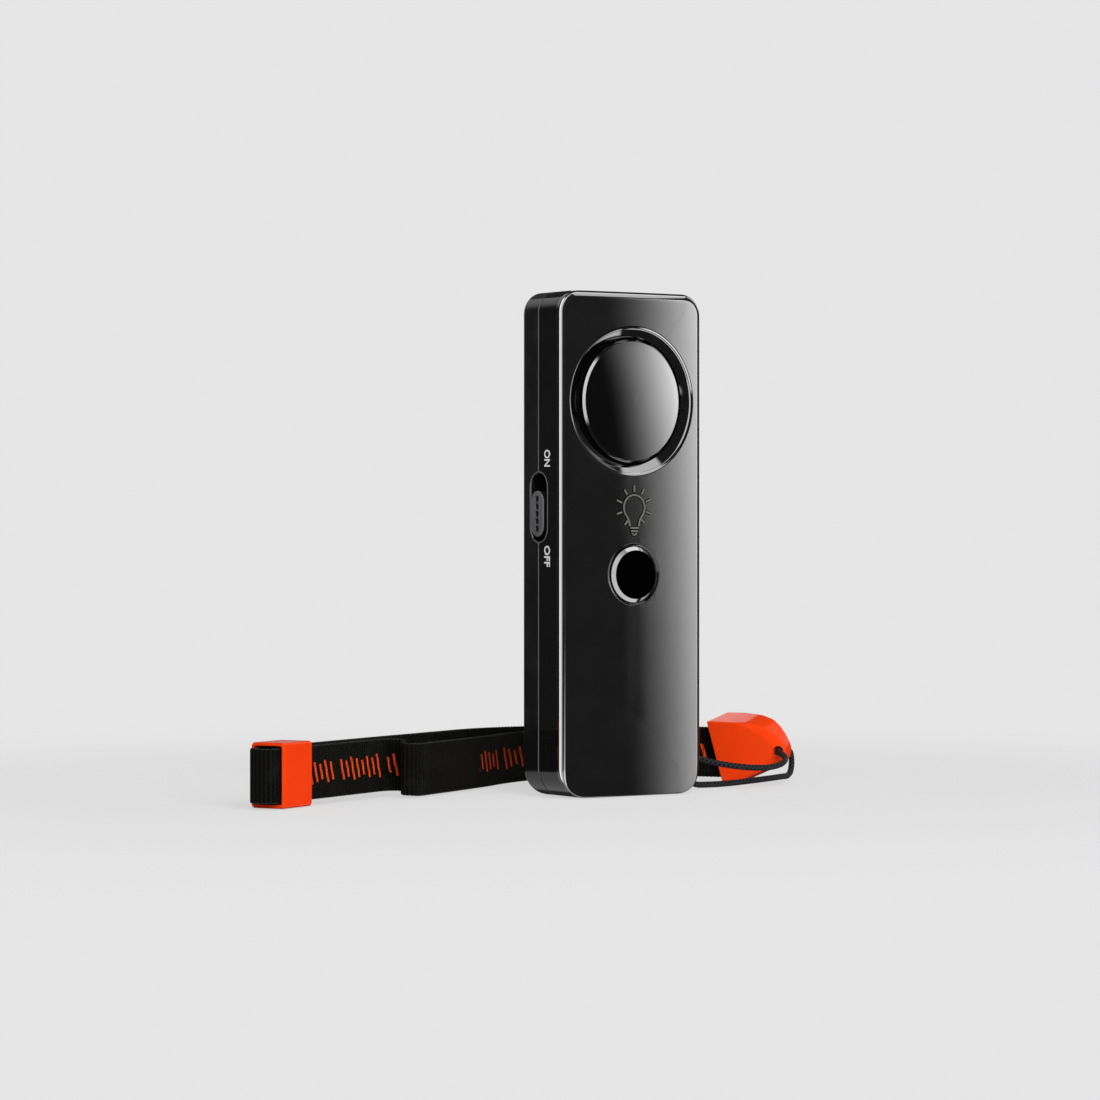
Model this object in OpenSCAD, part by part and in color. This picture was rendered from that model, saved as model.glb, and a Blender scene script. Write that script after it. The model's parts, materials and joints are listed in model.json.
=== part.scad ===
// Personal safety alarm with torch and wrist strap.
// Frame: origin at the middle of the case's foot, +X right seen from the front, +Y to the rear, +Z up.
// All sizes in millimetres.

/* [Case] */
// Width of the case
case_w = 41.2; // [40.6:0.1:45]
// Height of the case
case_h = 120; // [120:0.5:130]
// Depth of the case at its side edges, front to back
case_d = 16.4; // [16:0.1:18]
// Rise of the front face's crown above its side edges
crown = 0.9; // [0.5:0.1:1.2]
// Wall thickness of both shells
wall = 1.6; // [1.4:0.1:1.7]
// Depth of the front shell up to the parting line
front_depth = 9; // [8.8:0.1:9.6]
// Radius of the two top corners seen from the front
corner_top = 4.5; // [3.5:0.1:6]
// Radius of the two bottom corners seen from the front
corner_bottom = 7; // [5:0.1:8]
// Rounding of the front edge
edge_front = 1; // [0.6:0.1:1.5]
// Rounding of the rear edge
edge_rear = 1.4; // [1:0.1:2.4]
// Width of the reveal along the parting line
parting_gap = 0.3; // [0.2:0.05:0.4]

/* [Siren] */
// Width of the front face left beside the siren well
well_edge = 2.9; // [2.6:0.1:3.6]
// Depth of the siren well
well_depth = 2.2; // [1.8:0.1:2.4]
// Distance from the top of the case to the middle of the well
well_drop = 26; // [25.8:0.1:27]
// Width of the dark ring between the well's edge and the cap
cap_ring = 3; // [2.6:0.1:3.6]
// Height of the cap's rim above the floor of the well
cap_rim = 1.7; // [1.4:0.1:2]
// Rise of the cap's dome above its rim
cap_dome = 0.5; // [0.3:0.1:1]

/* [Torch] */
// Diameter of the torch button
button_d = 13.4; // [12:0.1:14]
// Gap around the torch button
button_gap = 0.2; // [0.15:0.05:0.3]
// How far the button stands out of the front face
button_proud = 0.9; // [0.8:0.05:1.2]
// Travel of the button when it is pressed
button_travel = 0.5; // [0.3:0.05:0.5]
// Height of the button's middle above the battery bay
button_rise = 3.6; // [3.6:0.1:5]
// Diameter of the torch lens in the top wall
lens_d = 5.6; // [5.4:0.1:5.8]

/* [Alarm switch] */
// Length of the slot in the left side wall
slot_l = 16.4; // [15.9:0.1:17.2]
// Width of the slot
slot_w = 7; // [6.4:0.1:7.4]
// Length of the sliding knob
knob_l = 10.9; // [10:0.1:11]
// Width of the knob
knob_w = 5.4; // [5:0.1:5.8]
// How far the knob stands out of the side wall
knob_proud = 0.6; // [0.4:0.05:0.9]
// Travel of the knob from off to alarm
knob_travel = 4; // [3.5:0.1:4]
// Distance from the middle of the siren well down to the slot's middle
slot_drop = 25.3; // [24.9:0.1:26]

/* [Batteries] */
// Diameter of an AAA cell
cell_d = 10.5; // [10.1:0.1:10.5]
// Length of an AAA cell with its nub
cell_l = 44.5; // [43.8:0.1:44.5]
// Thickness of the battery door
door_t = 1.4; // [1.2:0.05:1.45]

/* [Strap] */
// Width of the woven strap
strap_w = 12.5; // [11.5:0.1:12.7]
// Thickness of the woven strap
strap_t = 0.9; // [0.7:0.05:1]
// Length of the sliding keeper
keeper_l = 12; // [10:0.1:14]
// Thickness of the keeper
keeper_t = 9; // [8.8:0.1:10]
// Height of the keeper
keeper_h = 15; // [15:0.1:17]
// Thickness of the connector at its mouth
link_t = 9; // [8:0.1:10]
// Diameter of the lanyard cord
cord_d = 1.5; // [1.2:0.1:1.6]

/* [Hidden] */
$fn = 48;
eps = 0.02;
// Levels from front to back
front_y = -case_d / 2;
face_y = front_y - crown;
rear_y = case_d / 2;
part_y = front_y + front_depth;
front_in = front_y + wall;
rear_in = rear_y - wall;
side_in = case_w / 2 - wall;
// Siren levels
well_d = case_w - 2 * well_edge;
well_z = case_h - well_drop;
well_floor = face_y + well_depth;
well_back = well_floor + 1.2;
cap_d = well_d - 2 * cap_ring;
cap_edge = well_floor - cap_rim;
cap_top = cap_edge - cap_dome;
peg_ring = cap_d / 2 - 3.7;
peg_r = 1;
cup_r = well_d / 2 - 0.05;
cup_wall = 1;
cup_l = 5;
cup_back = well_back + cup_l;
piezo_r = cup_r - 4.15;
piezo_y = well_back + 3;
piezo_t = 0.3;
// Battery levels
cell_y = rear_y - door_t - 0.25 - cell_d / 2;
cell_x = cell_d / 2 + 0.15;
cell_half = cell_d + 0.4;
bay_floor = cell_y - cell_d / 2 - 0.15;
bay_wall = 0.9;
plate_t = 0.4;
cell_z = wall + plate_t;
spring_l = 2.2;
bay_top = cell_z + cell_l + spring_l + plate_t;
// Battery door, which turns on two pins at its round foot
door_z0 = 4.2;
door_z1 = bay_top + 1.4;
door_half = cell_half + 1.7;
door_gap = 0.15;
hinge_y = rear_y - door_t / 2;
hinge_z = door_z0 + door_t / 2;
pin_r = 0.4;
pin_l = 0.9;
// Circuit board levels
board_y = front_in + 4.9;
board_t = 1;
board_back = board_y + board_t;
board_z0 = bay_top + 1.2;
board_z1 = well_z - cup_r - 0.6;
board_half = side_in - 1.7;
button_z = bay_top + button_rise;
// Slot, knob and switch levels
slot_y = part_y;
slot_z = well_z - slot_drop;
slot_r = slot_w / 2;
knob_z = slot_z - slot_l / 2 + 1.2 + knob_l / 2;
knob_in = -side_in + 0.08;
knob_t = 0.8;
plate_foot = slot_z - slot_l / 2 - knob_travel - 0.6;
switch_x = -board_half;
switch_w = 4;
lever_y = board_back + 1.9;
wire_x = 3.4;
// Fixing screws
screw_top = [case_w / 2 - 5.2, case_h - 6.4];
screw_low = [cell_half + bay_wall + 3.1, 24];
screw_spots = [
    [screw_top[0], screw_top[1]],
    [-screw_top[0], screw_top[1]],
    [screw_low[0], screw_low[1]],
    [-screw_low[0], screw_low[1]]
];
boss_r = 2.6;
screw_r = 1;
head_r = 1.8;
head_y = rear_y - 2.4;
// Tongues of the rear shell between the lower screws and the knob's plate
tongue_z = [screw_low[1] + boss_r + 2, plate_foot - 3.9];
// Board posts
post_low = [board_half - 5.2, board_z0 + 3.6];
post_top = [board_half - 1.7, board_z1 - 1.2];
post_spots = [
    [post_low[0], post_low[1]],
    [-post_low[0], post_low[1]],
    [post_top[0], post_top[1]],
    [-post_top[0], post_top[1]]
];
// Bulb sign in the field between the button's rim and the siren well
rim_w = 0.75;
button_hole = button_d / 2 + button_gap;
field_z = [button_z + button_d / 2 + rim_w, well_z - well_d / 2];
sign_z = (field_z[0] + field_z[1]) / 2;
sign_scale = (field_z[1] - field_z[0]) / 16.15;
// Torch lamp
lens_flange = 0.7;
lens_y = front_in + lens_d / 2 + lens_flange + 0.6;
lamp_z = well_z + cup_r + 0.9;
lamp_r = lens_d / 2 - 0.45;
// Lanyard holes in the right side wall
port_y = 3.6;
port_z = [5, 10];
port_r = cord_d / 2 + 0.35;
stop_x = side_in - 1.4;
stop_r = port_r + 0.4;
stop_l = 3;

// Strap route: a straight run, one bend behind the case, a short straight run to the connector
strap_start = [-92.6, 4];
strap_turn = 27.3;
strap_run = 88;
bend_r = 40;
bend_angle = 82.3;
link_run = 11.2;
strap_z = 1.3;
bend_l = bend_r * bend_angle * PI / 180;
route_l = strap_run + bend_l + link_run;
link_turn = strap_turn - bend_angle;
keeper_half = 3.75;

// Point of the strap's middle line at distance s
function unit(a) = [cos(a), sin(a)];
function left(a) = [-sin(a), cos(a)];
bend_start = strap_start + strap_run * unit(strap_turn);
bend_mid = bend_start - bend_r * left(strap_turn);
bend_end = bend_mid + bend_r * left(link_turn);
function route_turn(s) =
    s < strap_run ? strap_turn :
    s < strap_run + bend_l ? strap_turn - (s - strap_run) / bend_r * 180 / PI : link_turn;
function route_point(s) =
    s < strap_run ? strap_start + s * unit(strap_turn) :
    s < strap_run + bend_l ? bend_mid + bend_r * left(route_turn(s)) :
    bend_end + (s - strap_run - bend_l) * unit(link_turn);
link_at = route_point(route_l);

// The strap's two layers as distance, offset and height of the lower edge
strap_plan = [
    [165.6, 0.65, 1.3], [157, 0.65, 1.3], [148, 0.8, 1.3], [138, 1.1, 1.3], [126, 1.5, 1.3],
    [112, 1.7, 1.3], [98, 1.8, 1.3], [84, 2.0, 1.3], [70, 2.3, 1.3], [55, 2.7, 1.3],
    [40, 2.9, 1.3], [25, 2.9, 1.3], [12, 2.9, 1.3], [0.5, 2.9, 1.3], [-1.4, 3.0, 1.3],
    [-2.9, 2.2, 1.3], [-3.5, 0, 1.3], [-2.9, -2.2, 1.3], [-1.4, -3.0, 1.3], [0.5, -2.9, 1.3],
    [12, -2.9, 1.3], [25, -2.9, 1.3], [38, -2.9, 1.3], [45, -2.9, 1.3], [48.4, -3.2, 1.2],
    [50.2, -4.2, 1.1], [50.4, -5.6, 1.0], [49, -6.8, 0.9], [47, -7.6, 0.8], [45.4, -8.6, 0.6],
    [45, -9.9, 0.5], [46, -11.1, 0.4], [48.4, -11.6, 0.3], [54, -11.3, 0.3], [62, -10.9, 0.3],
    [70, -10.4, 0.3], [79, -9.7, 0.3], [88, -8.7, 0.3], [98, -7.3, 0.4], [108, -5.6, 0.6],
    [118, -3.9, 0.9], [128, -2.4, 1.1], [138, -1.4, 1.3], [148, -0.85, 1.3], [157, -0.65, 1.3],
    [165.6, -0.65, 1.3]
];

// Lanyard cord from the upper hole, round the connector's nose and back to the lower hole
cord_plan = [
    [15, 3.6, 10], [18.2, 3.6, 10], [20.6, 3.6, 9.95], [23, 3.1, 9.2], [25.6, 2, 8],
    [28.8, 0.3, 6.8], [32.6, -1.8, 5.9], [36.5, -3.8, 5.3], [40.58, -4.11, 5], [44.47, -4.07, 5],
    [47.78, -3.58, 5.5], [50.12, -2.56, 6.3], [51.46, -0.64, 7.2], [52.08, 1.62, 7.9], [52.95, 3.51, 8.25],
    [54.36, 4.81, 8.3], [56, 5.96, 8.3], [57.64, 7.1, 8.3], [59.28, 8.25, 8.3], [61.18, 9.59, 7.33],
    [61.98, 10.14, 5], [61.18, 9.59, 2.67], [59.25, 8.29, 1.75], [57.28, 7.1, 1.7], [55.14, 5.96, 1.7],
    [52.66, 4.96, 1.65], [49.46, 4.31, 1.5], [45.11, 4.07, 1.25], [39.79, 4, 0.95], [34.68, 3.97, 0.78],
    [30.08, 3.92, 0.8], [27.8, 3.8, 0.95], [25.2, 3.7, 1.8], [23.2, 3.6, 3.3], [21.2, 3.6, 4.6],
    [18.2, 3.6, 5], [15, 3.6, 5]
];

// Smooth line through a list of points
function smooth(a, b, c, d, t) =
    0.5 * (2 * b + (c - a) * t + (2 * a - 5 * b + 4 * c - d) * t * t + (3 * b - a - 3 * c + d) * t * t * t);
function curve(p, n) = concat(
    [for (i = [0 : len(p) - 2], k = [0 : n - 1])
        smooth(p[max(i - 1, 0)], p[i], p[i + 1], p[min(i + 2, len(p) - 1)], k / n)],
    [p[len(p) - 1]]
);
function flat(v) = v / norm(v);
function run_of(p, i) = flat(p[min(i + 1, len(p) - 1)] - p[max(i - 1, 0)]);
function length_of(p) = len(p) < 2 ? 0 : [for (i = 1, s = norm(p[1] - p[0]); i < len(p);
    i = i + 1, s = i < len(p) ? s + norm(p[i] - p[i - 1]) : s) s][len(p) - 2];

// Arc of points for a revolved profile
function arc(x, y, r, a, b, n = 6) = [for (i = [0 : n]) [x + r * cos(a + (b - a) * i / n),
    y + r * sin(a + (b - a) * i / n)]];

// A round tube along a list of points
module tube(p, r, sides = 8, up = [0, 0, 1]) {
    n = len(p);
    rings = [for (i = [0 : n - 1]) let (t = run_of(p, i), a = flat(cross(t, up)), b = cross(a, t))
        for (k = [0 : sides - 1]) p[i] + r * (cos(360 * k / sides) * a + sin(360 * k / sides) * b)];
    faces = concat(
        [[for (k = [0 : sides - 1]) k]],
        [for (i = [0 : n - 2], k = [0 : sides - 1]) let (m = (k + 1) % sides)
            [i * sides + k, (i + 1) * sides + k, (i + 1) * sides + m, i * sides + m]],
        [[for (k = [sides - 1 : -1 : 0]) (n - 1) * sides + k]]
    );
    polyhedron(rings, faces, convexity = 8);
}

// Cylinder along the depth of the case from y0 to y1
module along_y(x, z, y0, y1, r0, r1) {
    translate([x, y0, z]) rotate([-90, 0, 0]) cylinder(h = y1 - y0, r1 = r0, r2 = r1);
}

// Cylinder along the width of the case from x0 to x1
module along_x(y, z, x0, x1, r) {
    translate([x0, y, z]) rotate([0, 90, 0]) cylinder(h = x1 - x0, r = r);
}

// Box from one corner to the opposite corner
module block(a, b) {
    translate(a) cube(b - a);
}

// Rounded corner column of a shell
module corner_post(r, y0, y1, e0, e1) {
    rotate([-90, 0, 0]) rotate_extrude($fn = 40) polygon(concat(
        [[0, y0]],
        e0 > 0 ? arc(r - e0, y0 + e0, e0, -90, 0) : [[r, y0]],
        e1 > 0 ? arc(r - e1, y1 - e1, e1, 0, 90) : [[r, y1]],
        [[0, y1]]
    ));
}

// Rounded slab between two depths, drawn in from the outer face by an inset
module slab(inset, y0, y1, e0, e1) {
    hull() {
        for (side = [-1, 1]) {
            translate([side * (case_w / 2 - corner_top), 0, case_h - corner_top])
                corner_post(corner_top - inset, y0, y1, e0, e1);
            translate([side * (case_w / 2 - corner_bottom), 0, corner_bottom])
                corner_post(corner_bottom - inset, y0, y1, e0, e1);
        }
    }
}

// Long hole in the left side wall, shared by both shells
module side_slot(x0, x1, l, w, z) {
    along_x(slot_y, z - l / 2 + w / 2, x0, x1, w / 2);
    along_x(slot_y, z + l / 2 - w / 2, x0, x1, w / 2);
    block([x0, slot_y - w / 2, z - l / 2 + w / 2], [x1, slot_y + w / 2, z + l / 2 - w / 2]);
}

// Straight stroke of the bulb sign
module stroke(x, z, l, turn) {
    translate([x, z]) rotate(turn) square([l, 0.5], center = true);
}

// Bulb sign drawn flat
module bulb_sign() {
    difference() {
        circle(r = 3.3, $fn = 40);
        circle(r = 2.8, $fn = 40);
        translate([-1.5, -4]) square([3, 3]);
    }
    for (side = [-1, 1]) {
        stroke(side * 1.5, -3.5, 1.8, 90);
        stroke(side * 4.6, 1.4, 1.2, side * 18);
        stroke(side * 4.6, -1.6, 1.2, -side * 18);
        stroke(side * 2.9, 4, 1.2, side * 54);
        stroke(side * 3.3, -4, 1.2, -side * 50);
    }
    stroke(0, 4.9, 1.2, 90);
    stroke(0, -4.4, 3.5, 0);
    stroke(0, -5.4, 2.6, 0);
    stroke(0, -6.2, 1.4, 0);
}

// Three pegs of the siren cap
module cap_pegs(y0, y1, r) {
    for (k = [0 : 2]) {
        turn = 120 * k + 90;
        along_y(peg_ring * cos(turn), well_z + peg_ring * sin(turn), y0, y1, r, r);
    }
}

// Front of the case: rounded slab with a crowned face
module front_body() {
    hull() {
        slab(0, front_y, part_y - parting_gap / 2, edge_front, 0);
        for (k = [-4 : 4]) {
            x = k / 4 * (case_w / 2 - corner_bottom);
            drop = crown * pow(2 * x / case_w, 2);
            block([x - eps / 2, face_y + drop, edge_front], [x + eps / 2, front_y + 1, case_h - edge_front]);
        }
    }
}

module front_shell() {
    color([0.03, 0.03, 0.035])
    difference() {
        union() {
            difference() {
                front_body();
                slab(wall, front_in, part_y + 1, 0.5, 0);
            }
            along_y(0, well_z, front_in - 0.2, well_back, cup_r, cup_r);
            along_y(0, button_z, face_y - 0.3, front_in - 0.2, button_d / 2 + rim_w, button_d / 2 + rim_w);
            for (p = screw_spots) along_y(p[0], p[1], front_in - 0.2, part_y, boss_r, boss_r);
            for (p = post_spots) {
                along_y(p[0], p[1], front_in - 0.2, board_y, 1.6, 1.6);
                along_y(p[0], p[1], front_in, board_back + 0.4, 0.75, 0.75);
            }
            translate([0, face_y + 0.3, sign_z]) rotate([90, 0, 0]) linear_extrude(0.5)
                scale(sign_scale) bulb_sign();
        }
        along_y(0, well_z, face_y - 1, well_floor, well_d / 2 + 0.5, well_d / 2 - 0.9);
        for (k = [0 : 5]) {
            translate([0, well_floor - 0.5, well_z]) rotate([-90, 0, 0]) rotate([0, 0, 60 * k + 8])
                rotate_extrude(angle = 44) translate([cap_d / 2 + 0.4, 0]) square([1.1, 3]);
        }
        cap_pegs(well_floor - 0.5, well_back + 0.5, peg_r + 0.02);
        along_y(0, button_z, face_y - 1, front_in + 0.5, button_hole, button_hole);
        for (p = screw_spots) along_y(p[0], p[1], front_in + 1, part_y + 1, screw_r + 0.02, screw_r + 0.02);
        side_slot(-case_w / 2 - 1, -side_in + 1, slot_l, slot_w, slot_z);
        translate([0, lens_y, case_h - wall - 1]) cylinder(h = wall + 2, r = lens_d / 2 + 0.02);
    }
}

module rear_shell() {
    color([0.035, 0.035, 0.04])
    difference() {
        union() {
            difference() {
                slab(0, part_y + parting_gap / 2, rear_y, 0, edge_rear);
                slab(wall, part_y - 1, rear_in, 0, 0.8);
            }
            // Tongue that laps inside the front shell along the left and right walls
            for (side = [-1, 1]) {
                block([side > 0 ? side_in - 0.8 : -side_in + 0.05, part_y - 1.2, tongue_z[0]],
                    [side > 0 ? side_in - 0.05 : -side_in + 0.8, part_y + 1.5, tongue_z[1]]);
                block([side > 0 ? side_in - 0.4 : -side_in - 0.4, part_y + parting_gap, tongue_z[0]],
                    [side > 0 ? side_in + 0.4 : -side_in + 0.4, part_y + 1.5, tongue_z[1]]);
            }
            // Battery bay, which stands just clear of the front shell's floor
            block([-cell_half - bay_wall, bay_floor - bay_wall, wall + door_gap],
                [cell_half + bay_wall, rear_in + 0.2, bay_top + bay_wall]);
            block([-cell_half - bay_wall, part_y + parting_gap / 2, wall - 0.2],
                [cell_half + bay_wall, rear_in + 0.2, bay_top]);
            // Seat of the battery door
            block([-door_half - 1, rear_y - door_t - 1.1, wall - 0.2],
                [door_half + 1, rear_in + 0.2, door_z1 + 1]);
            for (p = screw_spots) along_y(p[0], p[1], part_y, rear_in + 0.2, boss_r, boss_r);
        }
        // Inside of the battery bay
        block([-cell_half, bay_floor, wall], [cell_half, rear_in, bay_top]);
        block([-cell_half, bay_floor, door_z0 - door_gap], [cell_half, rear_y + 1, bay_top]);
        // Recess for the door
        block([-door_half - door_gap, rear_y - door_t - 0.05, door_z0 - door_gap],
            [door_half + door_gap, rear_y + 1, door_z1 + door_gap]);
        // Sockets for the door's two pins
        along_x(hinge_y, hinge_z, -door_half - pin_l - 0.2, door_half + pin_l + 0.2, pin_r + 0.08);
        for (p = screw_spots) {
            along_y(p[0], p[1], part_y - 1, rear_y + 1, screw_r + 0.15, screw_r + 0.15);
            along_y(p[0], p[1], head_y, rear_y + 1, head_r + 0.2, head_r + 0.2);
        }
        side_slot(-case_w / 2 - 1, -side_in + 1, slot_l, slot_w, slot_z);
        for (z = port_z) along_x(port_y, z, case_w / 2 - 6, case_w / 2 + 1, port_r);
        // Ways for the solder tabs at the top of the bay
        for (side = [-1, 1]) block([side * cell_x - 1.3, bay_floor - 0.1, bay_top - eps],
            [side * cell_x + 1.3, bay_floor + 1.2, bay_top + 2]);
    }
}

module battery_door() {
    color([0.035, 0.035, 0.04])
    difference() {
        union() {
            block([-door_half, rear_y - door_t, hinge_z], [door_half, rear_y, door_z1]);
            along_x(hinge_y, hinge_z, -door_half, door_half, door_t / 2);
            along_x(hinge_y, hinge_z, -door_half - pin_l, door_half + pin_l, pin_r);
        }
        // Finger scoop
        translate([0, rear_y + 7.4, door_z1 - 6]) sphere(r = 8);
        // Grip grooves under the scoop
        for (k = [0 : 2]) {
            z = door_z1 - 13 - 2 * k;
            block([-5, rear_y - 0.4, z], [5, rear_y + 1, z + 0.8]);
        }
    }
}

module siren_cap() {
    r = cap_d / 2;
    ball = (r * r + cap_dome * cap_dome) / (2 * cap_dome);
    reach = asin(r / ball);
    color([0.02, 0.02, 0.025])
    union() {
        translate([0, 0, well_z]) rotate([90, 0, 0]) rotate_extrude($fn = 72) polygon(concat(
            [[0, -well_floor + 0.9], [r - 1.2, -well_floor + 0.9], [r - 1.2, -well_floor], [r, -well_floor]],
            arc(0, -cap_top - ball, ball, 90 - reach, 90, 10)
        ));
        cap_pegs(well_floor - 1.2, well_back - 0.1, peg_r);
    }
}

module sounder_cup() {
    color([0.2, 0.2, 0.22])
    difference() {
        along_y(0, well_z, well_back, cup_back, cup_r, cup_r);
        along_y(0, well_z, well_back - 1, piezo_y - 0.8, cup_r - cup_wall, cup_r - cup_wall);
        along_y(0, well_z, well_back, cup_back + 1, piezo_r - 1.5, piezo_r - 1.5);
        along_y(0, well_z, piezo_y, cup_back + 1, piezo_r + 0.1, piezo_r + 0.1);
        block([-3, piezo_y + 0.8, well_z - cup_r - 1], [3, cup_back + 1, well_z - piezo_r + 1.5]);
    }
}

module piezo_disc() {
    color([0.78, 0.62, 0.25])
    union() {
        along_y(0, well_z, piezo_y, piezo_y + piezo_t, piezo_r, piezo_r);
        along_y(0, well_z, piezo_y + piezo_t - 0.05, piezo_y + piezo_t + 0.25, piezo_r - 3.5, piezo_r - 3.5);
    }
}

module torch_button() {
    r = button_d / 2;
    color([0.02, 0.02, 0.025])
    difference() {
        union() {
            along_y(0, button_z, face_y - button_proud + 0.7, front_in + 0.1, r, r);
            along_y(0, button_z, face_y - button_proud, face_y - button_proud + 0.7, r - 0.8, r);
            along_y(0, button_z, front_in + 0.05, front_in + 0.55, r + 1, r + 1);
        }
        along_y(0, button_z, face_y + 0.6, front_in + 2, r - 1.2, r - 1.2);
    }
    color([0.02, 0.02, 0.025])
    along_y(0, button_z, face_y + 0.5, board_y - 4.25, 1.6, 1.6);
}

module torch_switch() {
    color([0.1, 0.1, 0.11])
    difference() {
        block([-2.25, board_y - 3.3, button_z - 2.25], [2.25, board_y, button_z + 2.25]);
        along_y(0, button_z, board_y - 3.4, board_y - 1.6, 1.15, 1.15);
    }
}

module torch_plunger() {
    color([0.6, 0.1, 0.08])
    along_y(0, button_z, board_y - 4.25, board_y - 2.4, 1.1, 1.1);
}

module alarm_knob() {
    x = -case_w / 2 - knob_proud;
    color([0.25, 0.25, 0.26])
    difference() {
        union() {
            side_slot(x, knob_in + 0.2, knob_l, knob_w, knob_z);
            block([knob_in, slot_y - slot_r - 0.8, plate_foot],
                [knob_in + knob_t, slot_y + slot_r + 0.8, slot_z + slot_l / 2 + 0.6]);
            for (side = [-1, 1]) block([knob_in + 0.4, lever_y - 0.8, knob_z + side * 1.45 - 0.45],
                [switch_x - 0.15, lever_y + 0.8, knob_z + side * 1.45 + 0.45]);
        }
        for (k = [-2 : 2]) translate([x - 0.75, slot_y, knob_z + 1.76 * k]) sphere(r = 1.1, $fn = 32);
    }
}

module alarm_switch() {
    color([0.5, 0.5, 0.52])
    difference() {
        block([switch_x, board_back, slot_z - 5], [switch_x + switch_w, board_back + 3.8, slot_z + 5]);
        block([switch_x - 1, lever_y - 0.9, knob_z - 1.1],
            [switch_x + 2.4, lever_y + 0.9, knob_z + knob_travel + 1.1]);
    }
}

module switch_lever() {
    color([0.85, 0.85, 0.83])
    block([knob_in + knob_t + 0.05, lever_y - 0.7, knob_z - 0.9],
        [switch_x + 2.2, lever_y + 0.7, knob_z + 0.9]);
}

module main_board() {
    color([0.05, 0.3, 0.14])
    difference() {
        block([-board_half, board_y, board_z0], [board_half, board_back, board_z1]);
        for (p = post_spots) along_y(p[0], p[1], board_y - 1, board_back + 1, 0.78, 0.78);
    }
}

module boost_coil() {
    color([0.12, 0.12, 0.13])
    translate([board_half - 6.6, board_back, board_z1 - 5]) union() {
        along_y(0, 0, 0, 1.2, 4, 4);
        along_y(0, 0, 1.1, 4.1, 3.1, 3.1);
        along_y(0, 0, 4, 5.2, 4, 4);
    }
}

module driver_chip() {
    color([0.06, 0.06, 0.065])
    union() {
        block([-2.5, board_back + 0.15, slot_z - 3.9], [1.4, board_back + 1.6, slot_z + 1.1]);
        for (k = [0 : 3], side = [-1, 1]) block(
            [side > 0 ? 1.3 : -3.5, board_back, slot_z - 3.5 + 1.27 * k],
            [side > 0 ? 2.4 : -2.4, board_back + 0.4, slot_z - 3.1 + 1.27 * k]);
    }
}

module charge_capacitor() {
    color([0.15, 0.2, 0.35])
    along_y(-wire_x - 2.9, button_z + 5.2, board_back, board_back + 5.4, 2.5, 2.5);
}

module torch_led() {
    color([0.95, 0.95, 0.85])
    union() {
        translate([0, lens_y, lamp_z]) cylinder(h = 1, r = lamp_r + 0.35);
        translate([0, lens_y, lamp_z + 0.9]) cylinder(h = case_h - wall - 1.3 - lamp_z - 0.9, r = lamp_r);
    }
}

module torch_lens() {
    color([0.9, 0.93, 0.95, 0.6])
    union() {
        translate([0, lens_y, case_h - wall - 0.9]) cylinder(h = wall + 0.8, r = lens_d / 2);
        translate([0, lens_y, case_h - wall - 0.9]) cylinder(h = 0.9, r = lens_d / 2 + lens_flange);
    }
}

module led_wires() {
    color([0.7, 0.1, 0.08])
    for (side = [-1, 1]) tube(curve([
        [side * 1.3, lens_y, lamp_z - 0.25], [side * 1.3, lens_y + 0.5, lamp_z - 0.46],
        [side * 1.3, cup_back - 0.4, lamp_z - 0.46], [side * 1.4, cup_back + 0.8, lamp_z - 1.2],
        [side * 1.8, cup_back + 1.1, lamp_z - 8],
        [side * 2.2, cup_back + 1.1, well_z - 8], [side * 2.4, cup_back + 1, board_z1 - 0.2],
        [side * 2.4, board_back + 0.9, board_z1 - 2.2], [side * 2.4, board_back, board_z1 - 2.6]
    ], 2), 0.4, 8, [1, 0, 0]);
}

module sounder_wires() {
    color([0.1, 0.1, 0.6])
    for (x = [-wire_x, wire_x]) tube(curve([
        [x, piezo_y + 0.8, well_z - 7], [x, piezo_y + 1.4, well_z - 7.6], [x, cup_back + 0.3, well_z - 10],
        [x, cup_back + 0.8, well_z - 14], [x, cup_back + 0.8, board_z1 + 0.4],
        [x, board_back + 0.9, board_z1 - 3.4], [x, board_back, board_z1 - 3.9]
    ], 2), 0.4, 8, [1, 0, 0]);
}

module battery_cells() {
    color([0.75, 0.6, 0.2])
    for (side = [-1, 1]) {
        foot = side < 0 ? cell_z + spring_l : cell_z;
        translate([side * cell_x, cell_y, foot]) rotate([side < 0 ? 0 : 180, 0, 0])
            translate([0, 0, side < 0 ? 0 : -cell_l]) {
                cylinder(h = cell_l - 1, r = cell_d / 2);
                translate([0, 0, cell_l - 1.1]) cylinder(h = 1.1, r = 1.9);
            }
    }
}

module battery_springs() {
    color([0.75, 0.75, 0.76])
    for (side = [-1, 1]) {
        foot = side < 0 ? cell_z + 0.25 : bay_top - plate_t - 0.25;
        tube([for (i = [0 : 28]) [
            side * cell_x + (3.4 - 0.035 * i) * cos(30 * i),
            cell_y + (3.4 - 0.035 * i) * sin(30 * i),
            foot - side * (spring_l - 0.5) * i / 28
        ]], 0.25, 6);
    }
}

module battery_plates() {
    color([0.7, 0.7, 0.7])
    union() {
        block([-cell_half + 0.3, cell_y - 3.6, wall], [cell_half - 0.3, cell_y + 3.6, cell_z]);
    }
    color([0.7, 0.7, 0.7])
    for (side = [-1, 1]) {
        block([side * cell_x - 3.8, bay_floor + 0.2, bay_top - plate_t],
            [side * cell_x + 3.8, cell_y + 3.6, bay_top]);
        block([side * cell_x - 1, bay_floor + 0.2, bay_top - 0.1],
            [side * cell_x + 1, bay_floor + 0.7, bay_top + 1.6]);
    }
}

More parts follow.
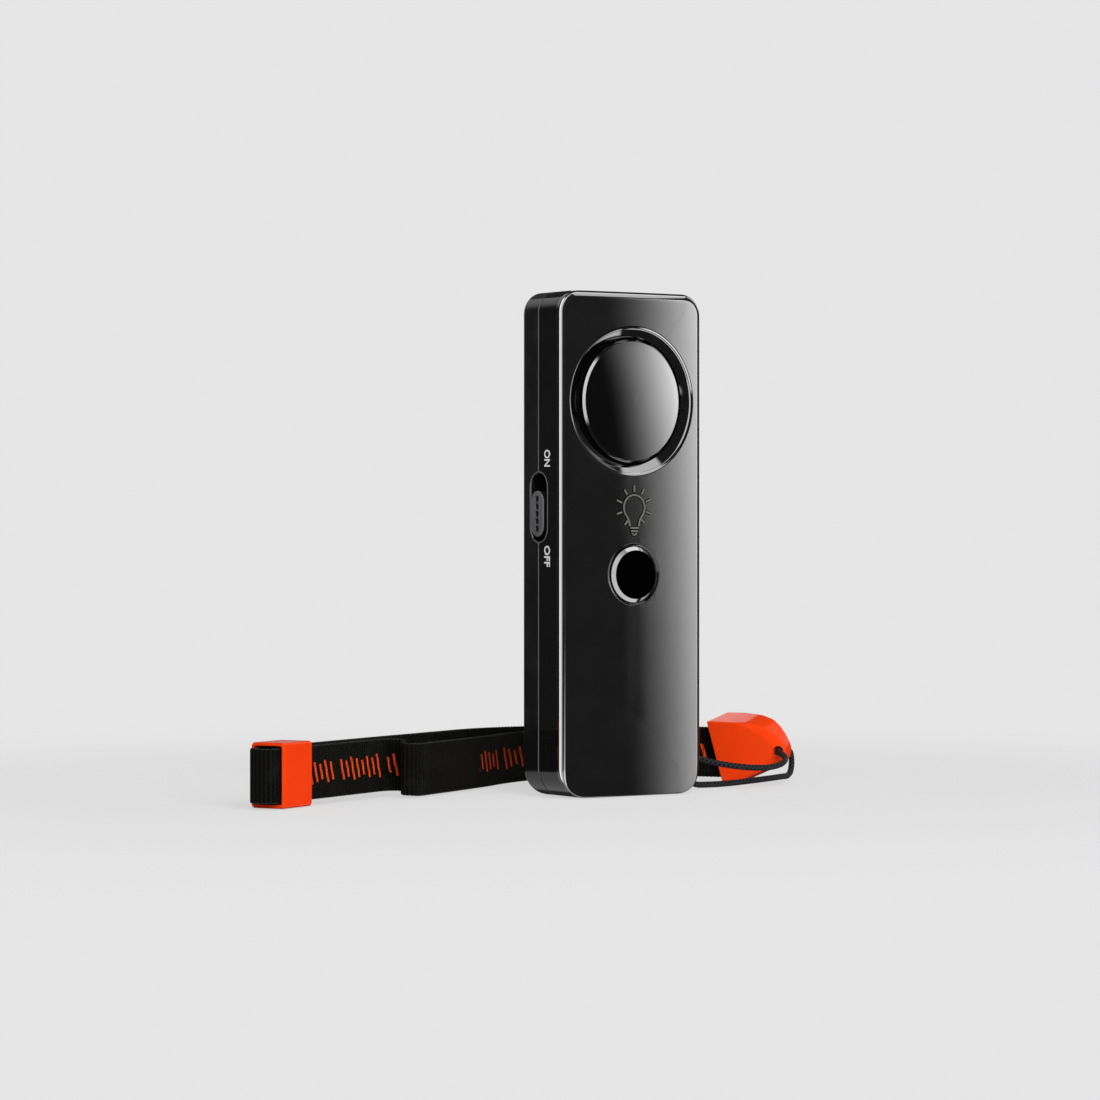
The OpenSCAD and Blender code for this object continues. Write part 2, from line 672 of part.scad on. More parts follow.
module battery_wires() {
    color([0.1, 0.1, 0.1])
    for (side = [-1, 1]) tube(curve([
        [side * cell_x, bay_floor + 0.45, bay_top + 1.65], [side * cell_x, bay_floor + 0.6, bay_top + 2.4],
        [side * cell_x, bay_floor + 1.2, bay_top + 3.2], [side * cell_x, board_y - 0.6, bay_top + 3.6],
        [side * cell_x, board_y, bay_top + 3.6]
    ], 2), 0.35, 8, [1, 0, 0]);
}

module case_screws() {
    color([0.6, 0.6, 0.62])
    for (p = screw_spots) difference() {
        union() {
            along_y(p[0], p[1], head_y - 8.4, head_y + 0.1, screw_r, screw_r);
            along_y(p[0], p[1], head_y, head_y + 1.4, head_r, head_r);
        }
        block([p[0] - 1.1, head_y + 0.7, p[1] - 0.25], [p[0] + 1.1, head_y + 2, p[1] + 0.25]);
        block([p[0] - 0.25, head_y + 0.7, p[1] - 1.1], [p[0] + 0.25, head_y + 2, p[1] + 1.1]);
    }
}

module wrist_strap() {
    plan = curve(strap_plan, 3);
    mid = [for (p = plan) route_point(p[0]) + p[1] * left(route_turn(p[0]))];
    n = len(plan);
    rings = [for (i = [0 : n - 1]) let (t = run_of(mid, i), a = [-t[1], t[0]] * strap_t / 2,
        z = plan[i][2]) each [
            [mid[i][0] - a[0], mid[i][1] - a[1], z],
            [mid[i][0] + a[0], mid[i][1] + a[1], z],
            [mid[i][0] + a[0], mid[i][1] + a[1], z + strap_w],
            [mid[i][0] - a[0], mid[i][1] - a[1], z + strap_w]
        ]];
    faces = concat(
        [[0, 1, 2, 3]],
        [for (i = [0 : n - 2], k = [0 : 3]) let (m = (k + 1) % 4)
            [4 * i + k, 4 * i + 4 + k, 4 * i + 4 + m, 4 * i + m]],
        [[4 * n - 1, 4 * n - 2, 4 * n - 3, 4 * n - 4]]
    );
    color([0.06, 0.06, 0.06]) polyhedron(rings, faces, convexity = 10);
}

module strap_keeper() {
    color([0.9, 0.3, 0.05])
    translate([strap_start[0], strap_start[1], 0]) rotate([0, 0, strap_turn]) difference() {
        block([0, -keeper_t / 2, 0], [keeper_l, keeper_t / 2, keeper_h]);
        block([-1, -keeper_half, strap_z - 0.4], [keeper_l + 1, keeper_half, strap_z + strap_w + 0.4]);
    }
}

// Side outlines of the connector: the side towards the front, and the higher side behind it
link_near = [[7, 0], [9.8, 0], [21.2, 4.9], [22.6, 6.6], [23, 8.4], [22.2, 9.6], [20.2, 11.2],
    [16.9, 13.7], [12.5, 15.1], [2.7, 15.4]];
link_far = [[8.4, 0], [9.8, 0], [21.2, 4.9], [22.6, 6.6], [23, 8.4], [22.6, 10.4], [21.4, 12.6],
    [19.9, 14.6], [18.1, 16.1], [15.1, 17], [10, 17.4], [5.2, 17.4]];

module link_slice(outline, y) {
    translate([0, y, 0]) rotate([90, 0, 0]) linear_extrude(0.1) polygon(outline);
}

module strap_connector() {
    color([0.9, 0.3, 0.05])
    translate([link_at[0], link_at[1], 0]) rotate([0, 0, link_turn]) difference() {
        intersection() {
            hull() {
                link_slice(link_near, -link_t / 2 + 0.1);
                link_slice(link_far, link_t / 2);
            }
            linear_extrude(20) polygon([[-1, -link_t / 2], [10, -link_t / 2], [24, -2.5],
                [24, 2.5], [10, link_t / 2], [-1, link_t / 2]]);
        }
        block([-1, -1.4, strap_z - 0.3], [10, 1.4, strap_z + strap_w + 0.3]);
        translate([21, 10, 8.3]) rotate([90, 0, 0]) cylinder(h = 20, r = 1.25);
    }
}

module lanyard_cord() {
    p = curve(cord_plan, 2);
    echo(str("lanyard cord length ", length_of(p), " mm"));
    color([0.05, 0.05, 0.05]) tube(p, cord_d / 2, 8, [cos(link_turn), sin(link_turn), 0]);
}

module cord_stops() {
    color([0.7, 0.7, 0.72])
    for (z = port_z) difference() {
        along_x(port_y, z, stop_x - stop_l, stop_x, stop_r);
        along_x(port_y, z, stop_x - stop_l - 1, stop_x + 1, cord_d / 2 + 0.03);
    }
}

front_shell();
rear_shell();
battery_door();
siren_cap();
sounder_cup();
piezo_disc();
torch_button();
torch_switch();
torch_plunger();
alarm_knob();
alarm_switch();
switch_lever();
main_board();
boost_coil();
driver_chip();
charge_capacitor();
torch_led();
torch_lens();
led_wires();
sounder_wires();
battery_cells();
battery_springs();
battery_plates();
battery_wires();
case_screws();
wrist_strap();
strap_keeper();
strap_connector();
lanyard_cord();
cord_stops();
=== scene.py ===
"""Looks of the personal safety alarm: case, siren, torch button, side switch, strap and lanyard."""
import json
import math

import bmesh
import bpy
from mathutils import Matrix, Vector


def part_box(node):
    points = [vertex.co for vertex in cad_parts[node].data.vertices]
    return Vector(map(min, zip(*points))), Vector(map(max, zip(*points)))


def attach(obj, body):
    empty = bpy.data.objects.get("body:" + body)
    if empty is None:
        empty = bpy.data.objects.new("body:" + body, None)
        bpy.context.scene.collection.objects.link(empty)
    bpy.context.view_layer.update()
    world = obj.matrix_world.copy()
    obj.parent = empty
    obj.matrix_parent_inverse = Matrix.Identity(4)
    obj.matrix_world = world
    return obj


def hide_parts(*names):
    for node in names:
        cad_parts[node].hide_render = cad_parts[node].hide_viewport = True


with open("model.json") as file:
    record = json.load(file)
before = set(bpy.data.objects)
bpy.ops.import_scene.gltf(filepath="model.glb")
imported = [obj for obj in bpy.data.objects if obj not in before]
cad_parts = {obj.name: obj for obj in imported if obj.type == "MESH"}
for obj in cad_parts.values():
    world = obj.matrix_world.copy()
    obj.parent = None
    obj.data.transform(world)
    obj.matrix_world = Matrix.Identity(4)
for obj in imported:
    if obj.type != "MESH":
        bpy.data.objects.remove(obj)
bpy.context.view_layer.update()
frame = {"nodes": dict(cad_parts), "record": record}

MM = 0.001


def box_mm(node):
    """Lowest and highest corner of a CAD node in millimetres."""
    low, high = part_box(node)
    return [v / MM for v in low], [v / MM for v in high]


# Sizes in millimetres, from the frame where a node gives them
SHELL_HIGH = box_mm("rear_shell")[1]
DOOR_LOW, DOOR_HIGH = box_mm("battery_door")
CAP_LOW, CAP_HIGH = box_mm("siren_cap")
BUTTON_LOW, BUTTON_HIGH = box_mm("torch_button")
KNOB_LOW, KNOB_HIGH = box_mm("alarm_knob")
LENS_LOW, LENS_HIGH = box_mm("torch_lens")
HALF_W = SHELL_HIGH[0]
CASE_H = SHELL_HIGH[2]
REAR_Y = SHELL_HIGH[1]
EDGE_Y = -REAR_Y
CROWN = 0.9
FACE_Y = EDGE_Y - CROWN
PART_DEPTH = 9
PART_Y = EDGE_Y + PART_DEPTH
SEAM = 0.3
WALL = 1.6
CORNER_TOP = 5.2
CORNER_BOTTOM = 7
EDGE_FRONT = 1.6
EDGE_FOOT = 0.25
EDGE_REAR = 1.4
FRONT_IN = EDGE_Y + WALL
REAR_IN = REAR_Y - WALL
WELL_Z = (CAP_LOW[2] + CAP_HIGH[2]) / 2
WELL_OUT = 17.95
WELL_FLOOR = FACE_Y + 2.2
CAP_R = CAP_HIGH[0]
CAP_TOP = CAP_LOW[1]
BUTTON_Z = (BUTTON_LOW[2] + BUTTON_HIGH[2]) / 2
BUTTON_R = 6.7
BUTTON_TOP = BUTTON_LOW[1]
RIM_R = 7.45
WELL_SEEN = 17.7
SIGN_LIFT = 0.4
SIGN_Z = (BUTTON_Z + RIM_R + WELL_Z - WELL_SEEN) / 2 + SIGN_LIFT
SLOT_DROP = 25.3
SLOT_Z = WELL_Z - SLOT_DROP
SLOT_L = 16.4
SLOT_W = 7
KNOB_L = 10.9
KNOB_W = 5.4
KNOB_GAP = 1.2
KNOB_Z = SLOT_Z - SLOT_L / 2 + KNOB_GAP + KNOB_L / 2
KNOB_X = KNOB_LOW[0]
DOOR_HALF = 12.6
DOOR_T = 1.4
HINGE_R = 0.7
HINGE_Y = REAR_Y - HINGE_R
HINGE_Z = DOOR_LOW[2] + HINGE_R
BAY_HALF = 10.9
BAY_LEDGE = 1.4
BAY_TOP = DOOR_HIGH[2] - BAY_LEDGE
SCREWS = [(s * x, z) for s in (-1, 1) for x, z in ((HALF_W - 5.2, CASE_H - 6.4), (14.9, 24))]
PORT_Y = 3.6
PORT_Z = (5, 10)
LENS_Y = (LENS_LOW[1] + LENS_HIGH[1]) / 2
LENS_R = 2.8
LENS_BORE = 2.85
SEAM_LAND = 0.45
SEAM_BEVEL = 0.12
SEAM_STEP = 0.9

# Strap route, repeated from the part's source
STRAP_START = Vector((-92.6, 4))
STRAP_TURN = math.radians(27.3)
STRAP_RUN = 88
BEND_R = 40
BEND_ANGLE = math.radians(82.3)
LINK_RUN = 11.2
STRAP_W = 12.5
STRAP_T = 0.9
STRAP_PLAN = [
    (165.6, 0.65, 1.3), (157, 0.65, 1.3), (148, 0.8, 1.3), (138, 1.1, 1.3), (126, 1.5, 1.3),
    (112, 1.7, 1.3), (98, 1.8, 1.3), (84, 2.0, 1.3), (70, 2.3, 1.3), (55, 2.7, 1.3),
    (40, 2.9, 1.3), (25, 2.9, 1.3), (12, 2.9, 1.3), (0.5, 2.9, 1.3), (-1.4, 3.0, 1.3),
    (-2.9, 2.2, 1.3), (-3.5, 0, 1.3), (-2.9, -2.2, 1.3), (-1.4, -3.0, 1.3), (0.5, -2.9, 1.3),
    (12, -2.9, 1.3), (25, -2.9, 1.3), (38, -2.9, 1.3), (45, -2.9, 1.3), (48.4, -3.2, 1.2),
    (50.2, -4.2, 1.1), (50.4, -5.6, 1.0), (49, -6.8, 0.9), (47, -7.6, 0.8), (45.4, -8.6, 0.6),
    (45, -9.9, 0.5), (46, -11.1, 0.4), (48.4, -11.6, 0.3), (54, -11.3, 0.3), (62, -10.9, 0.3),
    (70, -10.4, 0.3), (79, -9.7, 0.3), (88, -8.7, 0.3), (98, -7.3, 0.4), (108, -5.6, 0.6),
    (118, -3.9, 0.9), (128, -2.4, 1.1), (138, -1.4, 1.3), (148, -0.85, 1.3), (157, -0.65, 1.3),
    (165.6, -0.65, 1.3),
]
KEEPER_L = 12
KEEPER_T = 9
KEEPER_H = 15
CORD_D = 1.5
CORD_PLAN = [
    (15, 3.6, 10), (18.2, 3.6, 10), (20.6, 3.6, 9.95), (23, 3.1, 9.2), (25.6, 2, 8),
    (28.8, 0.3, 6.8), (32.6, -1.8, 5.9), (36.5, -3.8, 5.3), (40.58, -4.11, 5), (44.47, -4.07, 5),
    (47.78, -3.58, 5.5), (50.12, -2.56, 6.3), (51.46, -0.64, 7.2), (52.08, 1.62, 7.9), (52.95, 3.51, 8.25),
    (54.36, 4.81, 8.3), (56, 5.96, 8.3), (57.64, 7.1, 8.3), (59.28, 8.25, 8.3), (61.18, 9.59, 7.33),
    (61.98, 10.14, 5), (61.18, 9.59, 2.67), (59.25, 8.29, 1.75), (57.28, 7.1, 1.7), (55.14, 5.96, 1.7),
    (52.66, 4.96, 1.65), (49.46, 4.31, 1.5), (45.11, 4.07, 1.25), (39.79, 4, 0.95), (34.68, 3.97, 0.78),
    (30.08, 3.92, 0.8), (27.8, 3.8, 0.95), (25.2, 3.7, 1.8), (23.2, 3.6, 3.3), (21.2, 3.6, 4.6),
    (18.2, 3.6, 5), (15, 3.6, 5),
]


# Node helpers for the materials
class Shader:
    """A material with a principled shader and short ways to add nodes."""

    def __init__(self, name, colour, roughness, **sockets):
        self.material = bpy.data.materials.new(name)
        self.material.use_nodes = True
        self.nodes = self.material.node_tree.nodes
        self.links = self.material.node_tree.links
        self.bsdf = self.nodes["Principled BSDF"]
        self.bsdf.inputs["Base Color"].default_value = (*colour, 1)
        self.bsdf.inputs["Roughness"].default_value = roughness
        for key, value in sockets.items():
            self.bsdf.inputs[key.replace("_", " ")].default_value = value
        self.material.diffuse_color = (*colour, 1)

    def add(self, kind, **settings):
        node = self.nodes.new(kind)
        for key, value in settings.items():
            setattr(node, key, value)
        return node

    def put(self, source, node, socket):
        target = node.inputs[socket]
        if isinstance(source, (int, float)):
            target.default_value = source
        else:
            self.links.new(source, target)

    def math(self, operation, a, b=0.0, c=0.0):
        node = self.add("ShaderNodeMath", operation=operation)
        for index, value in enumerate((a, b, c)):
            self.put(value, node, index)
        return node.outputs[0]

    def place(self, scale=1.0):
        """Place on the piece in millimetres times scale."""
        coordinates = self.add("ShaderNodeTexCoord")
        mapping = self.add("ShaderNodeMapping")
        size = scale / MM
        mapping.inputs["Scale"].default_value = (size, size, size)
        self.links.new(coordinates.outputs["Object"], mapping.inputs["Vector"])
        return mapping.outputs["Vector"]

    def noise(self, scale, detail=2.0, place=None):
        node = self.add("ShaderNodeTexNoise")
        node.inputs["Scale"].default_value = scale
        node.inputs["Detail"].default_value = detail
        self.links.new(place or self.place(), node.inputs["Vector"])
        return node.outputs["Fac"]

    def ramp(self, value, low, high, out_low, out_high):
        node = self.add("ShaderNodeMapRange", interpolation_type="SMOOTHSTEP")
        for socket, number in zip(range(5), (value, low, high, out_low, out_high)):
            self.put(number, node, socket)
        return node.outputs[0]

    def blend(self, fac, first, second):
        node = self.add("ShaderNodeMix", data_type="RGBA")
        self.put(fac, node, 0)
        for socket, colour in ((6, first), (7, second)):
            if isinstance(colour, tuple):
                node.inputs[socket].default_value = (*colour, 1)
            else:
                self.links.new(colour, node.inputs[socket])
        return node.outputs[2]

    def bump(self, height, distance, strength=1.0):
        node = self.add("ShaderNodeBump")
        node.inputs["Distance"].default_value = distance * MM
        node.inputs["Strength"].default_value = strength
        self.links.new(height, node.inputs["Height"])
        self.links.new(node.outputs["Normal"], self.bsdf.inputs["Normal"])

    def rough(self, value, low, high):
        self.links.new(self.ramp(value, 0.3, 0.7, low, high), self.bsdf.inputs["Roughness"])

    def tint(self, value, first, second, low=0.35, high=0.65):
        colour = self.blend(self.ramp(value, low, high, 0.0, 1.0), first, second)
        self.links.new(colour, self.bsdf.inputs["Base Color"])


def moulded(name, colour, roughness, grain, depth, spread=0.05, gloss=0.5, change=0.08, **more):
    """Moulded plastic: fine grain, slight change of gloss and of colour."""
    s = Shader(name, colour, roughness, Specular_IOR_Level=gloss, **more)
    fine = s.noise(grain, 3.0)
    broad = s.noise(0.12, 2.0)
    s.rough(broad, max(roughness - spread, 0.02), roughness + spread)
    s.tint(broad, tuple((1 - change) * c for c in colour), tuple(min((1 + change) * c, 1) for c in colour))
    s.bump(fine, depth)
    return s.material


def metal(name, colour, roughness, grain):
    """Plated or drawn metal with fine lines."""
    s = Shader(name, colour, roughness, Metallic=1.0)
    fine = s.noise(grain, 4.0)
    s.rough(fine, roughness - 0.08, roughness + 0.12)
    s.bump(fine, 0.01)
    return s.material


def uv_axes(s):
    """The piece's own run along and across, in millimetres."""
    layer = s.add("ShaderNodeUVMap", uv_map="run")
    split = s.add("ShaderNodeSeparateXYZ")
    s.links.new(layer.outputs["UV"], split.inputs[0])
    return s.math("MULTIPLY", split.outputs[0], 1000.0), s.math("MULTIPLY", split.outputs[1], 1000.0)


def weave_height(s, along, across):
    """Ribs across the strap with a twill of finer yarns over them."""
    ribs = s.math("SINE", s.math("MULTIPLY", along, 2 * math.pi / 0.95))
    twill_run = s.math("ADD", s.math("MULTIPLY", along, 2 * math.pi / 0.95),
                       s.math("MULTIPLY", across, 2 * math.pi / 0.62))
    twill = s.math("SINE", twill_run)
    return s.math("MULTIPLY_ADD", twill, 0.6, ribs)


def webbing(name, printed):
    s = Shader(name, (0.014, 0.014, 0.0135), 0.7, Specular_IOR_Level=0.02)
    along, across = uv_axes(s)
    weave = weave_height(s, along, across)
    broad = s.noise(0.18, 3.0)
    fibre = s.noise(6.0, 2.0)
    # Colour follows the weave's height: darker in the grooves as painted shade and lighter on the ribs as
    # painted highlight; the broad patches and frayed edges added on top are wear.
    weave_painted_shade = s.blend(s.ramp(weave, -1.2, 1.3, 0.0, 1.0), (0.0012, 0.0012, 0.001), (0.0068, 0.0066, 0.0056))
    wear_and_weave_shade = s.blend(s.ramp(broad, 0.42, 0.72, 0.0, 0.35), weave_painted_shade, (0.015, 0.015, 0.013))
    side = s.math("ABSOLUTE", s.math("SUBTRACT", across, STRAP_W / 2))
    edge = s.math("MULTIPLY", s.ramp(side, 5.9, 6.2, 0.0, 0.8), s.ramp(fibre, 0.4, 0.62, 0.0, 1.0))
    wear_and_weave_shade = s.blend(edge, wear_and_weave_shade, (0.085, 0.085, 0.08))
    colour = wear_and_weave_shade
    if printed:
        lean = s.math("MULTIPLY_ADD", across, 0.3, along)
        step = s.math("DIVIDE", lean, 2.3)
        bar = s.math("FRACT", step)
        number = s.math("FLOOR", step)
        chance = s.math("FRACT", s.math("MULTIPLY", number, 0.618))
        group = s.math("FRACT", s.math("DIVIDE", number, 9.0))
        inside = s.math("MULTIPLY", s.math("LESS_THAN", bar, 0.36), s.math("LESS_THAN", group, 0.8))
        height = s.math("MULTIPLY_ADD", chance, 1.3, 1.6)
        mask = s.math("MULTIPLY", inside, s.math("LESS_THAN", side, height))
        # The print colour follows the weave's height the same way: painted shade in the grooves, painted
        # highlight on the ribs.
        ink_and_weave_shade = s.blend(s.ramp(weave, -1.2, 1.0, 0.0, 1.0), (0.5, 0.045, 0.006), (0.9, 0.09, 0.014))
        colour = s.blend(mask, wear_and_weave_shade, ink_and_weave_shade)
    s.links.new(colour, s.bsdf.inputs["Base Color"])
    s.rough(broad, 0.62, 0.8)
    s.bump(weave, 0.12, 0.9)
    return s.material


def braid(name):
    s = Shader(name, (0.012, 0.012, 0.013), 0.6, Specular_IOR_Level=0.05)
    along, around = uv_axes(s)
    turn = s.math("MULTIPLY", around, 2 * math.pi * 3)
    one = s.math("SINE", s.math("ADD", s.math("MULTIPLY", along, 2 * math.pi / 1.1), turn))
    two = s.math("SINE", s.math("SUBTRACT", s.math("MULTIPLY", along, 2 * math.pi / 1.1), turn))
    strands = s.math("MAXIMUM", one, two)
    # Colour follows the braid's height: lighter on the crests as painted highlight, darker between them as
    # painted shade.
    s.tint(strands, (0.0025, 0.0025, 0.0027), (0.026, 0.026, 0.029), -0.4, 1.0)
    s.bump(strands, 0.12, 0.8)
    return s.material


def circuit_board(name):
    s = Shader(name, (0.02, 0.16, 0.06), 0.35)
    tracks = s.add("ShaderNodeTexBrick")
    tracks.inputs["Scale"].default_value = 0.25
    tracks.inputs["Mortar Size"].default_value = 0.03
    s.links.new(s.place(), tracks.inputs["Vector"])
    s.tint(tracks.outputs["Fac"], (0.015, 0.13, 0.05), (0.05, 0.26, 0.11))
    s.bump(tracks.outputs["Fac"], 0.03)
    return s.material


def cell_sleeve(name):
    """Plain battery sleeve: gold end and dark body, no print."""
    s = Shader(name, (0.6, 0.4, 0.08), 0.3, Metallic=0.7)
    split = s.add("ShaderNodeSeparateXYZ")
    s.links.new(s.place(), split.inputs[0])
    band = s.math("GREATER_THAN", split.outputs[2], 34.0)
    colour = s.blend(band, (0.02, 0.02, 0.022), (0.55, 0.3, 0.05))
    s.links.new(colour, s.bsdf.inputs["Base Color"])
    s.rough(s.noise(0.4), 0.22, 0.38)
    return s.material


def clear(name, colour, roughness):
    s = Shader(name, colour, roughness, Transmission_Weight=0.9, IOR=1.49)
    s.bump(s.noise(0.8), 0.01)
    return s.material


MATERIALS = {
    "webbing": webbing("webbing", False),
    "webbing_print": webbing("webbing_print", True),
    "cord": braid("braided_cord"),
    "board_green": circuit_board("board_green"),
    "contact_steel": metal("nickel_plate", (0.7, 0.69, 0.66), 0.25, 2.0),
    "screw_steel": metal("zinc_plate", (0.52, 0.52, 0.54), 0.35, 3.0),
    "piezo_brass": metal("brass_disc", (0.75, 0.55, 0.22), 0.28, 1.5),
    "cell_sleeve": cell_sleeve("cell_sleeve"),
    "lens_clear": clear("lens_clear", (0.93, 0.95, 0.96), 0.03),
    "lamp_clear": clear("lamp_clear", (0.95, 0.92, 0.72), 0.12),
}

# Plastics: slot or finish, colour, roughness, grain, its depth, spread of gloss, and gloss
PLASTICS = [
    ("case_black", (0.0066, 0.0066, 0.007), 0.06, 1.5, 0.0008, 0.015),
    ("deep_black", (0.0015, 0.0015, 0.0016), 0.05, 1.5, 0.0006, 0.015),
    # Copy of the gloss black with a stronger reflection, for chamfers, the well and the button: it paints
    # brighter highlights there.
    ("polished_black", (0.0015, 0.0015, 0.0016), 0.05, 1.5, 0.0006, 0.015),
    # Copy of the gloss black for the front's edge fillets, with a stronger reflection that paints brighter
    # highlights there.
    ("edge_black", (0.0066, 0.0066, 0.007), 0.05, 1.5, 0.0006, 0.015),
    ("well_black", (0.0025, 0.0025, 0.0026), 0.45, 4.0, 0.01, 0.05, 0.0),
    ("case_rear", (0.0065, 0.0065, 0.007), 0.18, 3.0, 0.003, 0.03),
    ("knob_grey", (0.11, 0.11, 0.115), 0.5, 6.0, 0.02, 0.05, 0.12),
    # Darker black for the insides of the knob's dimples: painted shade in the hollows.
    ("knob_dark", (0.004, 0.004, 0.0042), 0.6, 6.0, 0.01, 0.05, 0.05),
    ("button_black", (0.0004, 0.0004, 0.0004), 0.35, 5.0, 0.004, 0.05, 0.0),
    # Grey for the sign's crests, a painted highlight; the sign's ridges take button_black, whose darkness
    # there paints shade.
    ("sign_grey", (0.12, 0.12, 0.1), 0.4, 5.0, 0.004, 0.05, 0.1),
    # Grey for the bead around the side slot: a painted highlight along the slot's edge.
    ("slot_edge", (0.12, 0.12, 0.122), 0.35, 5.0, 0.006, 0.05, 0.1),
    # Grey for the lip in the parting line: a painted highlight along the seam.
    ("seam_grey", (0.5, 0.5, 0.505), 0.5, 5.0, 0.01, 0.05, 0.1),
    ("accent_orange", (0.78, 0.045, 0.0045), 0.2, 5.0, 0.005, 0.01, 0.06),
    ("inner_black", (0.03, 0.03, 0.032), 0.5, 4.0, 0.02),
    ("switch_body", (0.16, 0.16, 0.17), 0.5, 4.0, 0.01),
    ("lever_white", (0.75, 0.75, 0.72), 0.45, 4.0, 0.01),
    ("plunger_red", (0.45, 0.04, 0.03), 0.4, 4.0, 0.01),
    ("wire_red", (0.45, 0.03, 0.02), 0.45, 4.0, 0.01),
    ("wire_blue", (0.04, 0.05, 0.35), 0.45, 4.0, 0.01),
    ("wire_black", (0.02, 0.02, 0.02), 0.45, 4.0, 0.01),
    ("print_white", (0.78, 0.78, 0.77), 0.5, 6.0, 0.005),
]
PLASTIC_NAMES = {"case_black": "gloss_black", "case_rear": "satin_black", "accent_orange": "orange_plastic"}
PLASTIC_EXTRAS = {
    "polished_black": {"IOR": 2.3},
    "edge_black": {"IOR": 2.3},
    "accent_orange": {"change": 0.02, "Specular_Tint": (1.0, 0.6, 0.25, 1.0)},
}
for slot_name, *values in PLASTICS:
    MATERIALS[slot_name] = moulded(PLASTIC_NAMES.get(slot_name, slot_name), *values,
                                   **PLASTIC_EXTRAS.get(slot_name, {}))


# Mesh helpers
def new_object(name, data):
    thing = bpy.data.objects.new(name, data)
    bpy.context.scene.collection.objects.link(thing)
    return thing


def solid(name, points, faces):
    """A mesh object from points in millimetres."""
    mesh = bpy.data.meshes.new(name)
    mesh.from_pydata([Vector(p) * MM for p in points], [], faces)
    shape = bmesh.new()
    shape.from_mesh(mesh)
    bmesh.ops.recalc_face_normals(shape, faces=shape.faces)
    shape.to_mesh(mesh)
    shape.free()
    return new_object(name, mesh)


def loft(rings, caps=True, closed=False):
    """Points and faces that join rings of equal counts."""
    count = len(rings[0])
    points = [p for ring in rings for p in ring]
    faces = []
    last = len(rings) if closed else len(rings) - 1
    for i in range(last):
        a = i * count
        b = (i + 1) % len(rings) * count
        for k in range(count):
            m = (k + 1) % count
            faces.append((a + k, b + k, b + m, a + m))
    if caps and not closed:
        faces.append(tuple(range(count)))
        faces.append(tuple(range(len(points) - count, len(points))))
    return points, faces


def turns(steps):
    """Equal steps of one full turn, in radians."""
    return [2 * math.pi * k / steps for k in range(steps)]


def round_ring(r, y, centre_z, steps):
    """Points of a circle about an axis along Y."""
    return [(r * math.cos(t), y, centre_z + r * math.sin(t)) for t in turns(steps)]


def arc(cx, cy, r, start, end, steps=6):
    """Points on an arc, angles in degrees."""
    angles = [math.radians(start + (end - start) * i / steps) for i in range(steps + 1)]
    return [(cx + r * math.cos(t), cy + r * math.sin(t)) for t in angles]


def pill(z, half, r, steps=24):
    """Outline of a long slot on the side wall as (z, y) pairs, from the middles of its round ends."""
    return arc(z + half, PART_Y, r, -90, 90, steps) + arc(z - half, PART_Y, r, 90, 270, steps)


def block(name, low, high):
    points = [(x, y, z) for x in (low[0], high[0]) for y in (low[1], high[1]) for z in (low[2], high[2])]
    faces = [(0, 1, 3, 2), (4, 6, 7, 5), (0, 4, 5, 1), (2, 3, 7, 6), (0, 2, 6, 4), (1, 5, 7, 3)]
    return solid(name, points, faces)


def rod(name, start, end, r, steps=48):
    """A round cutter between two points."""
    start = Vector(start)
    run = Vector(end) - start
    turn = run.to_track_quat("Z", "Y").to_matrix()
    rings = []
    for t in (0.0, 1.0):
        rings.append([start + run * t + turn @ Vector((r * math.cos(a), r * math.sin(a), 0))
                      for a in turns(steps)])
    return solid(name, *loft(rings))


def shape_object(name, shape):
    """A mesh object from a bmesh, which is freed."""
    mesh = bpy.data.meshes.new(name)
    shape.to_mesh(mesh)
    shape.free()
    return new_object(name, mesh)


def ball(name, centre, r):
    """A round cutter."""
    shape = bmesh.new()
    bmesh.ops.create_uvsphere(shape, u_segments=48, v_segments=32, radius=r * MM)
    bmesh.ops.translate(shape, verts=shape.verts, vec=Vector(centre) * MM)
    return shape_object(name, shape)


def cut(thing, cutters):
    """Cuts the cutters out of a piece, then removes them."""
    for cutter in cutters:
        step = thing.modifiers.new("cut", "BOOLEAN")
        step.operation = "DIFFERENCE"
        step.solver = "EXACT"
        step.object = cutter
    bpy.context.view_layer.update()
    graph = bpy.context.evaluated_depsgraph_get()
    mesh = bpy.data.meshes.new_from_object(thing.evaluated_get(graph))
    thing.modifiers.clear()
    thing.data = mesh
    for cutter in cutters:
        bpy.data.objects.remove(cutter)


def join(thing, *others):
    """Adds the meshes of other pieces to a piece, with their materials left out."""
    shape = bmesh.new()
    shape.from_mesh(thing.data)
    for other in others:
        shape.from_mesh(other.data)
        bpy.data.objects.remove(other)
    shape.to_mesh(thing.data)
    shape.free()


def dress(thing, slot, body="casing", nodes=(), angle=32, finish=None):
    """Material, smooth shading, body and the CAD nodes that a piece stands for."""
    thing.data.materials.clear()
    thing.data.materials.append(MATERIALS[finish or slot])
    if thing.type == "MESH":
        thing.data.shade_smooth()
        thing.data.set_sharp_from_angle(angle=math.radians(angle))
        thing.modifiers.new("even", "WEIGHTED_NORMAL").keep_sharp = True
    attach(thing, body)
    if nodes:
        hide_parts(*nodes)


def from_axis(c, z):
    """Distance of a place from an axis along Y at a height z."""
    return math.hypot(c.x, c.z - z)


def second_finish(thing, finish, test):
    """Gives the faces whose centre, in millimetres, passes the test another finish."""
    thing.data.materials.append(MATERIALS[finish])
    index = len(thing.data.materials) - 1
    for face in thing.data.polygons:
        if test(face.center / MM):
            face.material_index = index


